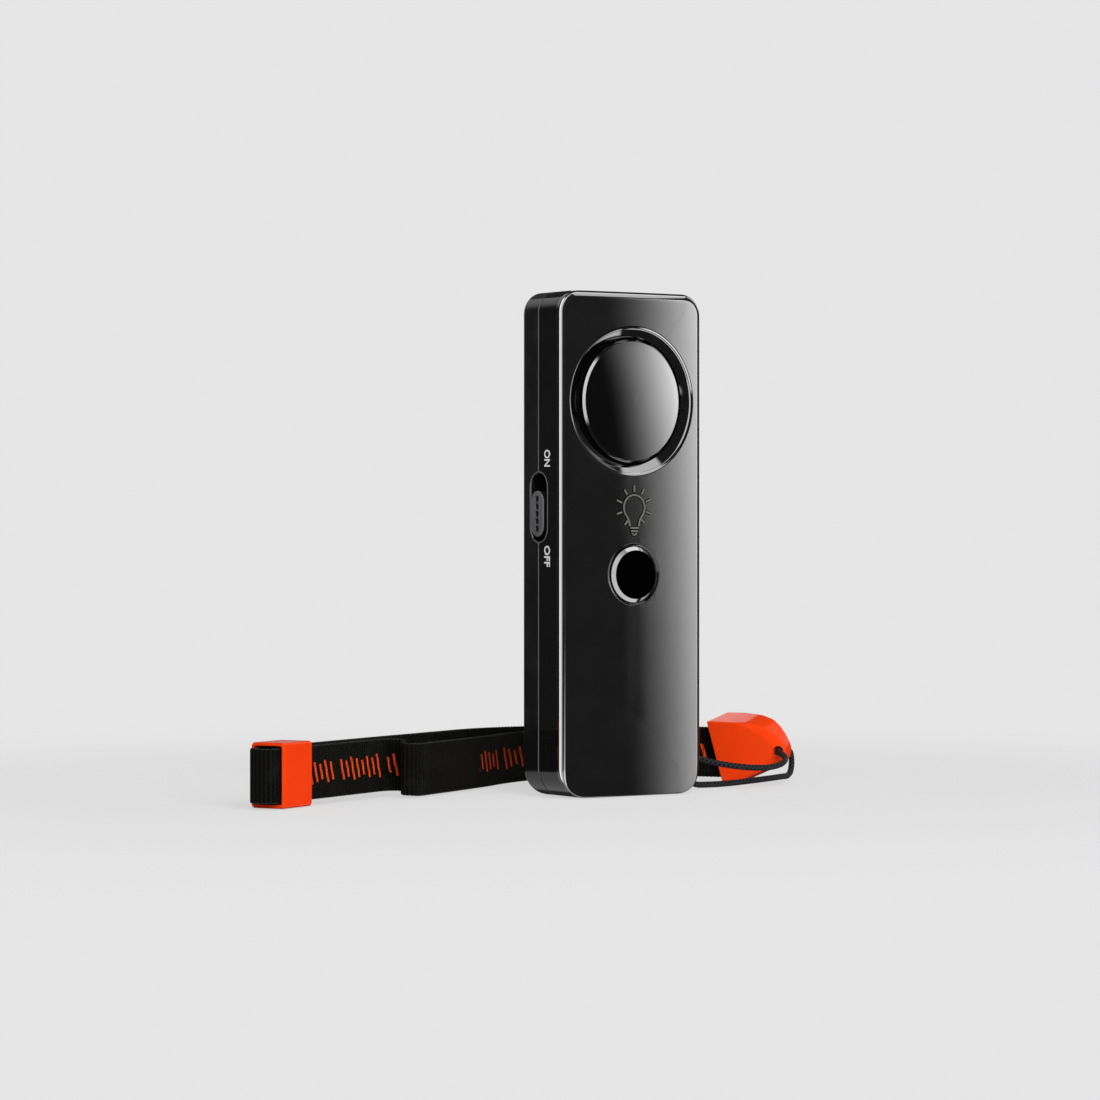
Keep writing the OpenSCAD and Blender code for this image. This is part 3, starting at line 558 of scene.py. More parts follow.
def smooth_line(points, steps):
    """Smooth line through points, as in the part's source."""
    points = [Vector(p) for p in points]
    line = []
    for i in range(len(points) - 1):
        a = points[max(i - 1, 0)]
        b = points[i]
        c = points[i + 1]
        d = points[min(i + 2, len(points) - 1)]
        for k in range(steps):
            t = k / steps
            line.append(0.5 * (2 * b + (c - a) * t + (2 * a - 5 * b + 4 * c - d) * t * t
                               + (3 * b - a - 3 * c + d) * t * t * t))
    line.append(points[-1])
    return line


def running_length(line):
    """Length of a line from its start to each of its points."""
    runs = [0.0]
    for a, b in zip(line, line[1:]):
        runs.append(runs[-1] + (b - a).length)
    return runs


# Camera at the photograph's viewing angle, placed by the case's front left edge
VIEW_TURN = math.radians(34)
VIEW_DISTANCE = 900
VIEW_HEIGHT = 64.5
IMAGE_SIDE = 1100
EDGE_PIXEL = (560, 525)
PIXELS_PER_MM = 4.25


def make_camera():
    data = bpy.data.cameras.new("photo_view")
    data.sensor_width = 36
    data.lens = PIXELS_PER_MM * VIEW_DISTANCE / IMAGE_SIDE * data.sensor_width
    data.shift_x = 0.5 - EDGE_PIXEL[0] / IMAGE_SIDE
    data.shift_y = EDGE_PIXEL[1] / IMAGE_SIDE - 0.5
    data.clip_start = 0.01
    thing = new_object("photo_view", data)
    back = Vector((math.sin(VIEW_TURN), math.cos(VIEW_TURN), 0)) * VIEW_DISTANCE
    thing.location = (Vector((-HALF_W, EDGE_Y, VIEW_HEIGHT)) - back) * MM
    thing.rotation_euler = (math.pi / 2, 0, -VIEW_TURN)
    bpy.context.scene.camera = thing


# Lanyard cord
def make_cord():
    line = smooth_line(CORD_PLAN, 6)
    sides = 12
    rings = []
    runs = running_length(line)
    up = Vector((math.cos(LINK_TURN), math.sin(LINK_TURN), 0))
    for i, p in enumerate(line):
        run = (line[min(i + 1, len(line) - 1)] - line[max(i - 1, 0)]).normalized()
        side = run.cross(up).normalized()
        top = side.cross(run)
        rings.append([p + CORD_D / 2 * (math.cos(t) * side + math.sin(t) * top)
                      for t in turns(sides)])
    cord = solid("lanyard_braid", *loft(rings))
    layer = cord.data.uv_layers.new(name="run")
    for face in cord.data.polygons:
        corners = [(v // sides, v % sides) for v in face.vertices]
        wrap = {k for _, k in corners} == {0, sides - 1}
        for loop, (i, k) in zip(face.loop_indices, corners):
            turn = 1.0 if wrap and k == 0 else k / sides
            layer.data[loop].uv = (runs[i] * MM, turn * MM)
    dress(cord, "cord", nodes=["lanyard_cord"], angle=60)


# Wrist strap
def unit(turn):
    return Vector((math.cos(turn), math.sin(turn)))


def left(turn):
    return Vector((-math.sin(turn), math.cos(turn)))


BEND_L = BEND_R * BEND_ANGLE
ROUTE_L = STRAP_RUN + BEND_L + LINK_RUN
LINK_TURN = STRAP_TURN - BEND_ANGLE
BEND_START = STRAP_START + STRAP_RUN * unit(STRAP_TURN)
BEND_MID = BEND_START - BEND_R * left(STRAP_TURN)
BEND_END = BEND_MID + BEND_R * left(LINK_TURN)


def route_turn(s):
    if s < STRAP_RUN:
        return STRAP_TURN
    return max(STRAP_TURN - (s - STRAP_RUN) / BEND_R, LINK_TURN)


def route_point(s):
    if s < STRAP_RUN:
        return STRAP_START + s * unit(STRAP_TURN)
    if s < STRAP_RUN + BEND_L:
        return BEND_MID + BEND_R * left(route_turn(s))
    return BEND_END + (s - STRAP_RUN - BEND_L) * unit(LINK_TURN)


def strap_profile():
    """Outline of the webbing's cross section: outer side first, with rounded edges."""
    edge = 0.3
    half = STRAP_T / 2
    bands = [0.0, 0.12, 0.3, 0.5, 0.7, 0.88, 1.0]
    outer = [(-half, edge + (STRAP_W - 2 * edge) * b) for b in bands]
    inner = [(half, v) for _, v in reversed(outer)]
    top = [(-half * 0.6, STRAP_W - 0.05), (half * 0.6, STRAP_W - 0.05)]
    foot = [(half * 0.6, 0.05), (-half * 0.6, 0.05)]
    return outer + top + inner + foot


def make_strap():
    plan = smooth_line(STRAP_PLAN, 5)
    middle = [route_point(p[0]) + p[1] * left(route_turn(p[0])) for p in plan]
    runs = running_length(middle)
    step = 0.475
    count = int(runs[-1] / step)
    profile = strap_profile()
    rings = []
    j = 0
    tooth = 0.07
    for i in range(count + 1):
        s = runs[-1] * i / count
        while j < len(runs) - 2 and runs[j + 1] < s:
            j += 1
        t = (s - runs[j]) / (runs[j + 1] - runs[j])
        p = middle[j].lerp(middle[j + 1], t)
        run_a = (middle[min(j + 1, len(middle) - 1)] - middle[max(j - 1, 0)]).normalized()
        run_b = (middle[min(j + 2, len(middle) - 1)] - middle[j]).normalized()
        run = run_a.lerp(run_b, t).normalized()
        side = Vector((-run.y, run.x))
        foot = plan[j][2] + (plan[j + 1][2] - plan[j][2]) * t
        wave = tooth if i % 2 else -tooth
        ring = []
        for a, v in profile:
            edge = abs(v - STRAP_W / 2) > STRAP_W / 2 - 0.2
            spread = wave * (1 if v > STRAP_W / 2 else -1) if edge else 0
            ring.append((p.x + a * side.x, p.y + a * side.y, foot + v + spread))
        rings.append(ring)
    strap = solid("strap_webbing", *loft(rings))
    layer = strap.data.uv_layers.new(name="run")
    sides = len(profile)
    dress(strap, "webbing", nodes=["wrist_strap"], angle=50)
    strap.data.materials.append(MATERIALS["webbing_print"])
    printed = set(range(6))
    front = runs[5 * STRAP_PLAN.index((12, -2.9, 1.3))]
    fold = runs[5 * STRAP_PLAN.index((50.2, -4.2, 1.1))]
    last = runs[5 * STRAP_PLAN.index((79, -9.7, 0.3))]
    for face in strap.data.polygons:
        corners = [(v // sides, v % sides) for v in face.vertices]
        for loop, (i, k) in zip(face.loop_indices, corners):
            layer.data[loop].uv = (runs[-1] * i / count * MM, profile[k][1] * MM)
        ks = {k for _, k in corners}
        place = runs[-1] * corners[0][0] / count
        marked = front < place < fold or place > last
        if marked and len(ks) == 2 and min(ks) in printed and max(ks) - min(ks) == 1:
            face.material_index = 1


# Case shells
def crown(x):
    """How far the front face falls back at a place across the case."""
    return CROWN * (x / HALF_W) ** 2


def face_level(x):
    """Depth of the crowned front face at a place across the case."""
    return FACE_Y + crown(x)


def outline(inset):
    """Rounded outline of the case seen from the front, drawn in by an inset. Always the same count."""
    half = HALF_W - inset
    low = inset
    high = CASE_H - inset
    rt = max(CORNER_TOP - inset, 0.4)
    rb = max(CORNER_BOTTOM - inset, 0.4)
    across = 14
    up = 24
    ring = []

    def line(a, b, steps):
        for i in range(steps):
            t = i / steps
            ring.append((a[0] + (b[0] - a[0]) * t, a[1] + (b[1] - a[1]) * t))

    line((-half + rb, low), (half - rb, low), across)
    ring.extend(arc(half - rb, low + rb, rb, -90, 0, 10)[:-1])
    line((half, low + rb), (half, high - rt), up)
    ring.extend(arc(half - rt, high - rt, rt, 0, 90, 10)[:-1])
    line((half - rt, high), (-half + rt, high), across)
    ring.extend(arc(-half + rt, high - rt, rt, 90, 180, 10)[:-1])
    line((-half, high - rt), (-half, low + rb), up)
    ring.extend(arc(-half + rb, low + rb, rb, 180, 270, 10)[:-1])
    return ring


def flat_ring(inset, y):
    return [(x, y, z) for x, z in outline(inset)]


def slot_cutter(name, *ends):
    """A long round-ended cutter through the left side wall, from the place and growth of each end."""
    rings = []
    for x, grow in ends:
        ring = pill(SLOT_Z, SLOT_L / 2 - SLOT_W / 2, SLOT_W / 2 + grow)
        rings.append([(x, y, z) for z, y in ring])
    return solid(name, *loft(rings))


def slot_hole(grow=0.0):
    """Cutter for the side slot."""
    return slot_cutter("c3", (-HALF_W - 2, grow), (-HALF_W + WALL + 1, grow))


def slot_lip():
    """A flared cutter for the slot's chamfered lip."""
    return slot_cutter("c5", (-HALF_W + 0.2, 0.0), (-HALF_W - 0.1, 0.25))


def rim_depth(x, z):
    """Distance of a place on the face from the case's outline."""
    r = CORNER_TOP if z > CASE_H / 2 else CORNER_BOTTOM
    across = HALF_W - abs(x)
    down = min(z, CASE_H - z)
    if across < r and down < r:
        return r - math.hypot(r - across, r - down)
    return min(across, down)


def make_front_shell():
    rings = []
    for inset in (19.0, 16.5, 14, 11.5, 9.5, 7.5, 6, 4.6, 3.4, 2.4):
        rings.append([(x, face_level(x), z) for x, z in outline(inset)])
    rim = outline(0)
    drawn = outline(1)
    edges = []
    for (_, z), (_, z1) in zip(rim, drawn):
        t = min(max(1.15 - 1.3 * (z1 - z), 0), 1) if z < CASE_H / 2 else 1
        edges.append(EDGE_FOOT + (EDGE_FRONT - EDGE_FOOT) * t * t * (3 - 2 * t))
    for step in range(11):
        turn = math.pi / 2 * step / 10
        ring = []
        for (x, z), (x1, z1), r in zip(rim, drawn, edges):
            inset = r * (1 - math.sin(turn))
            depth = face_level(x + (x1 - x) * r) + r * (1 - math.cos(turn))
            ring.append((x + (x1 - x) * inset, depth, z + (z1 - z) * inset))
        rings.append(ring)
    edge = PART_Y - SEAM / 2
    rings += [flat_ring(0, -4), flat_ring(0, edge - SEAM_BEVEL), flat_ring(SEAM_BEVEL, edge),
              flat_ring(SEAM_LAND, edge), flat_ring(SEAM_LAND, PART_Y - SEAM_STEP),
              flat_ring(WALL, PART_Y - SEAM_STEP), flat_ring(WALL, FRONT_IN)]
    shell = solid("front_shell_skin", *loft(rings))
    cutters = [
        rod("c1", (0, FACE_Y - 2, WELL_Z), (0, FRONT_IN + 2, WELL_Z), WELL_OUT, 144),
        rod("c2", (0, FACE_Y - 2, BUTTON_Z), (0, FRONT_IN + 2, BUTTON_Z), RIM_R + 0.3, 96),
        slot_hole(),
        slot_lip(),
        rod("c4", (0, LENS_Y, CASE_H - 4), (0, LENS_Y, CASE_H + 2), LENS_BORE),
    ]
    cut(shell, cutters)
    dress(shell, "case_black", nodes=["front_shell"], angle=28)
    low = 0.012
    slack = 0.02
    # The edge fillets take the stronger-reflecting copy of the gloss black, which paints their highlights
    # brighter than on the flat faces.
    second_finish(shell, "edge_black",
                  lambda c: face_level(c.x) + low < c.y < EDGE_Y + EDGE_FRONT - slack
                  and rim_depth(c.x, c.z) < EDGE_FRONT + slack)


def make_rear_shell():
    edge = PART_Y + SEAM / 2
    rings = [flat_ring(WALL, REAR_IN), flat_ring(WALL, PART_Y + SEAM_STEP),
             flat_ring(SEAM_LAND, PART_Y + SEAM_STEP), flat_ring(SEAM_LAND, edge),
             flat_ring(SEAM_BEVEL, edge), flat_ring(0, edge + SEAM_BEVEL), flat_ring(0, 4)]
    for step in range(11):
        turn = math.pi / 2 * step / 10
        inset = EDGE_REAR * (1 - math.cos(turn))
        rings.append(flat_ring(inset, REAR_Y - EDGE_REAR * (1 - math.sin(turn))))
    shell = solid("rear_shell_skin", *loft(rings))
    gap = 0.15
    cutters = [
        block("c1", (-DOOR_HALF - gap, REAR_Y - 1.45, DOOR_LOW[2] - gap),
              (DOOR_HALF + gap, REAR_Y + 2, DOOR_HIGH[2] + gap)),
        block("c2", (-BAY_HALF, REAR_IN - 2, DOOR_LOW[2] - gap), (BAY_HALF, REAR_Y + 2, BAY_TOP)),
        slot_hole(),
        slot_lip(),
    ]
    for i, (x, z) in enumerate(SCREWS):
        cutters.append(rod(f"s{i}", (x, REAR_Y - 2.4, z), (x, REAR_Y + 2, z), 2.0))
    for i, z in enumerate(PORT_Z):
        cutters.append(rod(f"p{i}", (HALF_W - 4, PORT_Y, z), (HALF_W + 2, PORT_Y, z), CORD_D / 2 + 0.35))
    cut(shell, cutters)
    dress(shell, "case_black", nodes=["rear_shell"], angle=28, finish="case_rear")


def make_seam():
    """Lip inside the parting line, on which both shells meet; its grey paints the highlight along the parting
    line.
    """
    rings = [flat_ring(i, y) for i, y in ((0.5, PART_Y - 0.85), (0.5, PART_Y + 0.85),
                                          (1.5, PART_Y + 0.85), (1.5, PART_Y - 0.85))]
    lip = solid("seam_lip", *loft(rings, closed=True))
    cut(lip, [slot_hole(0.05)])
    dress(lip, "case_black", finish="seam_grey")


def make_bay():
    """Open tray that holds the two cells."""
    thick = 0.9
    tray = block("battery_tray", (-BAY_HALF - thick, -5, WALL + 0.15),
                 (BAY_HALF + thick, REAR_IN - 0.05, BAY_TOP + thick))
    cut(tray, [block("c1", (-BAY_HALF, -4.1, WALL), (BAY_HALF, REAR_Y, BAY_TOP))])
    dress(tray, "inner_black")


def make_well():
    """Siren well: rounded lip that follows the crown, funnel wall, and a floor with sound slots."""
    lip = 1.1
    slope = 31
    brow = 52
    funnel_r = 15.3
    edge = arc(WELL_OUT, FACE_Y + lip, lip, -90, -90 - brow, 10)
    drop = (edge[-1][0] - funnel_r) * math.tan(math.radians(slope))
    profile = edge + [(edge[-1][0] + (funnel_r - edge[-1][0]) * t, edge[-1][1] + drop * t)
                      for t in (0.33, 0.67, 1.0)]
    steps = 144

    def crowned(r, y, deepest):
        return [(x, min(y0 + crown(WELL_OUT * math.cos(t)), deepest), z)
                for (x, y0, z), t in zip(round_ring(r, y, WELL_Z, steps), turns(steps))]

    rings = [crowned(r, y, WELL_FLOOR - 0.08) for r, y in profile]
    back = WELL_OUT - 0.65
    hole = 14.0
    deep = WELL_FLOOR + 1.2
    for r, y in ((funnel_r - 0.08, WELL_FLOOR - 0.05), (funnel_r - 0.12, WELL_FLOOR), (hole, WELL_FLOOR),
                 (hole, deep), (back, deep), (back, WELL_FLOOR - 0.2)):
        rings.append(round_ring(r, y, WELL_Z, steps))
    rings.append(crowned(WELL_OUT, FACE_Y + 1.2, REAR_Y))
    well = solid("siren_well", *loft(rings, closed=True))
    cutters = []
    for k in range(6):
        spread = [math.radians(60 * k + 8 + 44 * i / 16) for i in range(17)]
        inner = [(14.82 * math.cos(t), 14.82 * math.sin(t)) for t in spread]
        outside = [(15.12 * math.cos(t), 15.12 * math.sin(t)) for t in reversed(spread)]
        cutters.append(solid(f"c{k}", *loft([[(x, y, WELL_Z + z) for x, z in inner + outside]
                                             for y in (WELL_FLOOR - 0.2, WELL_FLOOR + 2)])))
    cut(well, cutters)
    # The well takes the stronger-reflecting black, which paints brighter highlights on its lip and funnel.
    dress(well, "case_black", angle=15, finish="polished_black")
    second_finish(well, "deep_black", lambda c: from_axis(c, WELL_Z) > WELL_OUT - 0.2)
    second_finish(well, "well_black", lambda c: from_axis(c, WELL_Z) < funnel_r - 0.02)


def make_cap():
    """Siren cap: crowned disc with a chamfered rim."""
    rim = 0.5
    slope = 48.5
    crest = -3.0
    curve = 160
    narrow = 0.965
    steps = 144
    flat = CAP_R - rim

    def ring(r, back):
        points = []
        for t in turns(steps):
            x = r * math.cos(t) * narrow
            z = r * math.sin(t)
            share = min(flat / r, 1)
            top = CAP_TOP + ((x * share - crest) ** 2 + 0.5 * (z * share) ** 2) / (2 * curve)
            points.append((x, top + back, WELL_Z + z))
        return points

    rings = [ring(r, 0) for r in (0.02, 2, 4, 6, 8, 10, 12, 13.2, flat)]
    deep = rim * math.tan(math.radians(slope))
    rings += [ring(flat + rim / 2, deep / 2), ring(CAP_R, deep)]
    wall = CAP_R - 1.2
    low = WELL_FLOOR + 0.05
    inside = WELL_FLOOR - 0.6
    for r, y in ((CAP_R, low), (wall, low), (wall, inside), (0.02, inside)):
        rings.append([(r * narrow * math.cos(t), y, WELL_Z + r * math.sin(t)) for t in turns(steps)])
    cap = solid("siren_disc", *loft(rings))
    dress(cap, "case_black", nodes=["siren_cap"], angle=16, finish="deep_black")
    # The chamfered rim takes the stronger-reflecting black, which paints its crescent highlight brighter.
    second_finish(cap, "polished_black",
                  lambda c: math.hypot(c.x / narrow, c.z - WELL_Z) > flat and c.y < CAP_TOP + 1.6)


def make_button():
    """Torch button in a stronger-reflecting black that paints a brighter highlight on its wide chamfer, and
    the thin bead around its hole.
    """
    flat = 5.75
    profile = [(0.02, BUTTON_TOP + 0.04), (3, BUTTON_TOP + 0.03), (5.2, BUTTON_TOP), (flat - 0.1, BUTTON_TOP)]
    profile += [(flat + 0.05, BUTTON_TOP + 0.04), (flat + 0.85, BUTTON_TOP + 0.74)]
    profile += [(BUTTON_R - 0.03, BUTTON_TOP + 0.88), (BUTTON_R, BUTTON_TOP + 1.0), (BUTTON_R, FRONT_IN)]
    profile += [(BUTTON_R + 1, FRONT_IN + 0.05), (BUTTON_R + 1, FRONT_IN + 0.5), (1.6, FRONT_IN + 0.5)]
    profile += [(1.6, BUTTON_HIGH[1]), (0.02, BUTTON_HIGH[1])]
    steps = 128
    button = solid("torch_key", *loft([round_ring(r, y, BUTTON_Z, steps) for r, y in profile]))
    dress(button, "case_black", "torch_key", ["torch_button"], angle=13, finish="polished_black")
    second_finish(button, "button_black",
                  lambda c: c.y < BUTTON_TOP + 0.045 and from_axis(c, BUTTON_Z) < flat)
    outer = RIM_R + 0.3
    bead = 0.15
    middle = RIM_R - 0.05
    ring = [(outer, FACE_Y), (middle + bead, FACE_Y)] + arc(middle, FACE_Y, bead, 0, -180, 8)[1:-1]
    ring += [(middle - bead, FACE_Y), (BUTTON_R + 0.3, FACE_Y + 0.02), (BUTTON_R + 0.19, FACE_Y + 0.12)]
    ring += [(BUTTON_R + 0.18, FRONT_IN), (outer, FRONT_IN)]
    rings = [[(x, y0 + crown(x), z) for x, y0, z in round_ring(r, y, BUTTON_Z, steps)] for r, y in ring]
    rim = solid("torch_rim", *loft(rings, closed=True))
    dress(rim, "case_black", angle=40, finish="deep_black")


def make_sign():
    """Raised bulb sign: glass, base and rays as ridges in a darker black that paints their shade, with a grey
    crest on each that paints the highlight.
    """
    glass = arc(0, 0, 3.0, -42, 222, 32)
    strokes = [[(1.3, -4.4), (1.4, -3.7), (1.7, -2.85)] + glass + [(-1.7, -2.85), (-1.4, -3.7), (-1.3, -4.4)]]
    strokes += [[(-1.2, -4.85), (1.2, -4.85)], [(-1.0, -5.6), (1.0, -5.6)]]
    strokes += [[(-0.7, -6.1), (0, -6.6), (0.7, -6.1)]]
    rays = ((0, 3.8, 0, 5.3), (-2.1, 3.1, -2.85, 4.3), (2.1, 3.2, 2.85, 4.35),
            (-3.6, 1.15, -5.05, 1.75), (3.4, 1.35, 4.75, 2.0), (-3.6, -1.1, -5.05, -1.55),
            (3.4, -0.95, 4.75, -1.45), (-1.95, -3.15, -2.75, -4.15), (2.1, -2.8, 2.85, -3.6))
    strokes += [[(a, b), (c, d)] for a, b, c, d in rays]
    # The dark ridge in the button's black paints the shade along each stroke; the grey crest on it paints the
    # highlight.
    for name, thick, sink, finish in (("bulb_sign", 0.46, 0.2, "button_black"),
                                      ("bulb_crest_highlight", 0.24, -0.13, "sign_grey")):
        curve = bpy.data.curves.new(name, "CURVE")
        curve.dimensions = "3D"
        curve.bevel_depth = thick * MM
        curve.bevel_resolution = 4
        curve.use_fill_caps = True
        for points in strokes:
            spline = curve.splines.new("POLY")
            spline.points.add(len(points) - 1)
            for spot, (x, z) in zip(spline.points, points):
                spot.co = (x * MM, (face_level(x) + sink) * MM, (SIGN_Z + z) * MM, 1)
        dress(new_object(name, curve), "case_black", finish=finish)


def make_mark(name, word, top, length):
    """White switch mark on the left side wall, read from top to bottom."""
    height = 2.4
    front = -3.95
    text = bpy.data.curves.new(name, "FONT")
    text.body = word
    text.extrude = 0.02
    text.offset = 0.022
    source = new_object(name + "_source", text)
    bpy.context.view_layer.update()
    graph = bpy.context.evaluated_depsgraph_get()
    mesh = bpy.data.meshes.new_from_object(source.evaluated_get(graph))
    bpy.data.objects.remove(source)
    xs = [v.co.x for v in mesh.vertices]
    ys = [v.co.y for v in mesh.vertices]
    for v in mesh.vertices:
        along = (v.co.x - min(xs)) / (max(xs) - min(xs)) * length
        up = (v.co.y - min(ys)) / (max(ys) - min(ys)) * height
        out = 0.04 if v.co.z > 0 else -0.1
        v.co = Vector((-HALF_W - out, front + height - up, top - along)) * MM
    mark = new_object(name, mesh)
    dress(mark, "lever_white", finish="print_white")


def make_knob():
    """Grey slider with five finger dimples, and the plate behind the slot."""
    edge = 0.35
    rings = []

    def ring(inset, x):
        return [(x, y, z) for z, y in pill(KNOB_Z, KNOB_L / 2 - KNOB_W / 2, KNOB_W / 2 - inset, 20)]

    for step in range(6):
        turn = math.pi / 2 * step / 5
        rings.append(ring(edge * (1 - math.sin(turn)), KNOB_X + edge * (1 - math.cos(turn))))
    rings.append(ring(0, -HALF_W + WALL + 0.3))
    knob = solid("alarm_slider_knob", *loft(rings))
    cut(knob, [ball(f"c{k}", (KNOB_X, PART_Y, KNOB_Z + 1.76 * k), 0.86) for k in range(-2, 3)])
    inner = -HALF_W + WALL + 0.08
    lap = 0.8
    plate = block("slider_plate", (inner, PART_Y - SLOT_W / 2 - lap, KNOB_LOW[2]),
                  (inner + lap, PART_Y + SLOT_W / 2 + lap, KNOB_HIGH[2]))
    lug = 0.45
    lugs = [block("lug", (inner + 0.4, 0.4, z - lug), (-HALF_W + WALL + 1.55, 2.0, z + lug))
            for z in (KNOB_Z - 1.45, KNOB_Z + 1.45)]
    join(plate, *lugs)
    dress(plate, "inner_black", "alarm_slider", finish="well_black")
    dress(knob, "knob_grey", "alarm_slider", ["alarm_knob"], angle=34)
    # Faces deep in the dimples take a darker black: painted shade in the hollows.
    second_finish(knob, "knob_dark", lambda c: c.x > KNOB_X + 0.28)
    # A thin bead round the slot, in a grey that paints the highlight along the slot's edge.
    bead = 0.13
    r = SLOT_W / 2 + 0.22
    half = SLOT_L / 2 - SLOT_W / 2
    rings = []
    for z, y in pill(SLOT_Z, half, r, 28):
        centre = SLOT_Z + min(max(z - SLOT_Z, -half), half)
        away = Vector((0, y - PART_Y, z - centre)).normalized()
        rings.append([Vector((-HALF_W + 0.03 - bead * math.cos(a), y, z)) + bead * math.sin(a) * away
                      for a in turns(10)])
    rim = solid("slot_rim", *loft(rings, closed=True))
    cut(rim, [block("c1", (-HALF_W - 1, PART_Y - SEAM / 2, 0), (-HALF_W + 1, PART_Y + SEAM / 2, CASE_H))])
    dress(rim, "case_black", angle=60, finish="slot_edge")


def make_door():
    """Battery door with a round hinge foot, two pins, finger scoop and grip grooves."""
    edge = 0.25

    def side(inset):
        top = DOOR_HIGH[2] - inset
        return arc(HINGE_Z, HINGE_Y, HINGE_R - inset, 270, 90, 12) + [
            (top - edge, REAR_Y - inset), (top, REAR_Y - edge - inset * 0.5), (top, REAR_Y - DOOR_T + inset)]

    rings = [[(x, y, z) for z, y in side(i)] for x, i in
             ((-DOOR_HALF, edge), (-DOOR_HALF + edge, 0), (DOOR_HALF - edge, 0), (DOOR_HALF, edge))]
    door = solid("battery_cover", *loft(rings))
    cutters = [ball("c0", (0, REAR_Y + 7.4, DOOR_HIGH[2] - 6), 8)]
    for k in range(3):
        z = DOOR_HIGH[2] - 13 - 2 * k
        cutters.append(block(f"g{k}", (-5, REAR_Y - 0.4, z), (5, REAR_Y + 1, z + 0.8)))
    cut(door, cutters)
    pins = [rod("pin", (s * (DOOR_HALF - 0.3), HINGE_Y, HINGE_Z),
                (s * (DOOR_HALF + 0.9), HINGE_Y, HINGE_Z), 0.4, 24) for s in (-1, 1)]
    join(door, *pins)
    dress(door, "case_black", "door", ["battery_door"], angle=30, finish="case_rear")


def make_lens():
    """Clear torch lens with a low dome in the top wall."""
    top = LENS_HIGH[2]
    low = LENS_LOW[2]
    flange = LENS_R + 0.7
    profile = [(0.02, top), (1, top - 0.02), (2, top - 0.09), (2.6, top - 0.2), (LENS_R, top - 0.35)]
    profile += [(LENS_R, low + 0.9), (flange, low + 0.88), (flange, low), (0.02, low)]
    rings = [[(r * math.cos(t), LENS_Y + r * math.sin(t), z) for t in turns(64)] for r, z in profile]
    lens = solid("torch_window", *loft(rings))
    dress(lens, "lens_clear", nodes=["torch_lens"], angle=40)


# Strap fittings
def local_frame(origin, turn):
    return Matrix.Translation((origin.x, origin.y, 0)) @ Matrix.Rotation(turn, 4, "Z")


def rounded_box_ring(half_t, low, high, r, steps=5):
    ring = []
    corners = ((half_t - r, high - r, 0), (-half_t + r, high - r, 90),
               (-half_t + r, low + r, 180), (half_t - r, low + r, 270))
    for cy, cz, start in corners:
        ring.extend(arc(cy, cz, r, start, start + 90, steps))
    return ring


def make_keeper():
    """Sliding keeper: a rounded sleeve with a window for both layers of the strap."""
    half = KEEPER_T / 2
    wall = 0.65
    sole = 0.8
    roof = 0.7
    window_r = 0.5
    outer_r = 0.8
    spin = local_frame(STRAP_START, STRAP_TURN)
    stations = [(0.45, 0, False), (0.12, 0.14, False), (0.0, 0.42, False),
                (0.0, 0.0, True), (0.25, 0.12, True),
                (KEEPER_L - 0.25, 0.12, True), (KEEPER_L, 0.0, True), (KEEPER_L, 0.42, False),
                (KEEPER_L - 0.12, 0.14, False), (KEEPER_L - 0.45, 0, False)]
    rings = []
    for x, inset, window in stations:
        if window:
            ring = rounded_box_ring(half - wall - inset, sole + inset, KEEPER_H - roof - inset, window_r)
        else:
            ring = rounded_box_ring(half - inset, inset, KEEPER_H - inset, outer_r)
        rings.append([spin @ Vector((x, y, z)) for y, z in ring])
    keeper = solid("strap_keeper_frame", *loft(rings, closed=True))
    dress(keeper, "accent_orange", "keeper", ["strap_keeper"], angle=40)


# Side outlines of the connector, from the mouth's foot round the nose to the mouth's top
LINK_NEAR = [(7, 0), (9.8, 0), (21.2, 4.9), (22.6, 6.6), (23, 8.4), (22.2, 9.6), (20.2, 11.2),
             (16.9, 13.7), (12.5, 15.1), (2.7, 15.4)]
LINK_FAR = [(8.4, 0), (9.8, 0), (21.2, 4.9), (22.6, 6.6), (23, 8.4), (22.6, 10.4), (21.4, 12.6),
            (19.9, 14.6), (18.1, 16.1), (15.1, 17), (10, 17.4), (5.2, 17.4)]


def link_half(x):
    return 4.5 if x < 10 else 4.5 - (x - 10) / 7


def chain(points, x):
    """Height of a line of points at a place along the connector."""
    for (x0, z0), (x1, z1) in zip(points, points[1:]):
        if x <= x1:
            return z0 + (z1 - z0) * (x - x0) / (x1 - x0)
    return points[-1][1]


def link_corner(side, points, t):
    """A corner of the connector's section, from the mouth at 0 to the nose at 1."""
    x = points[0][0] + (points[-1][0] - points[0][0]) * t
    return Vector((x, side * link_half(x), chain(points, x)))


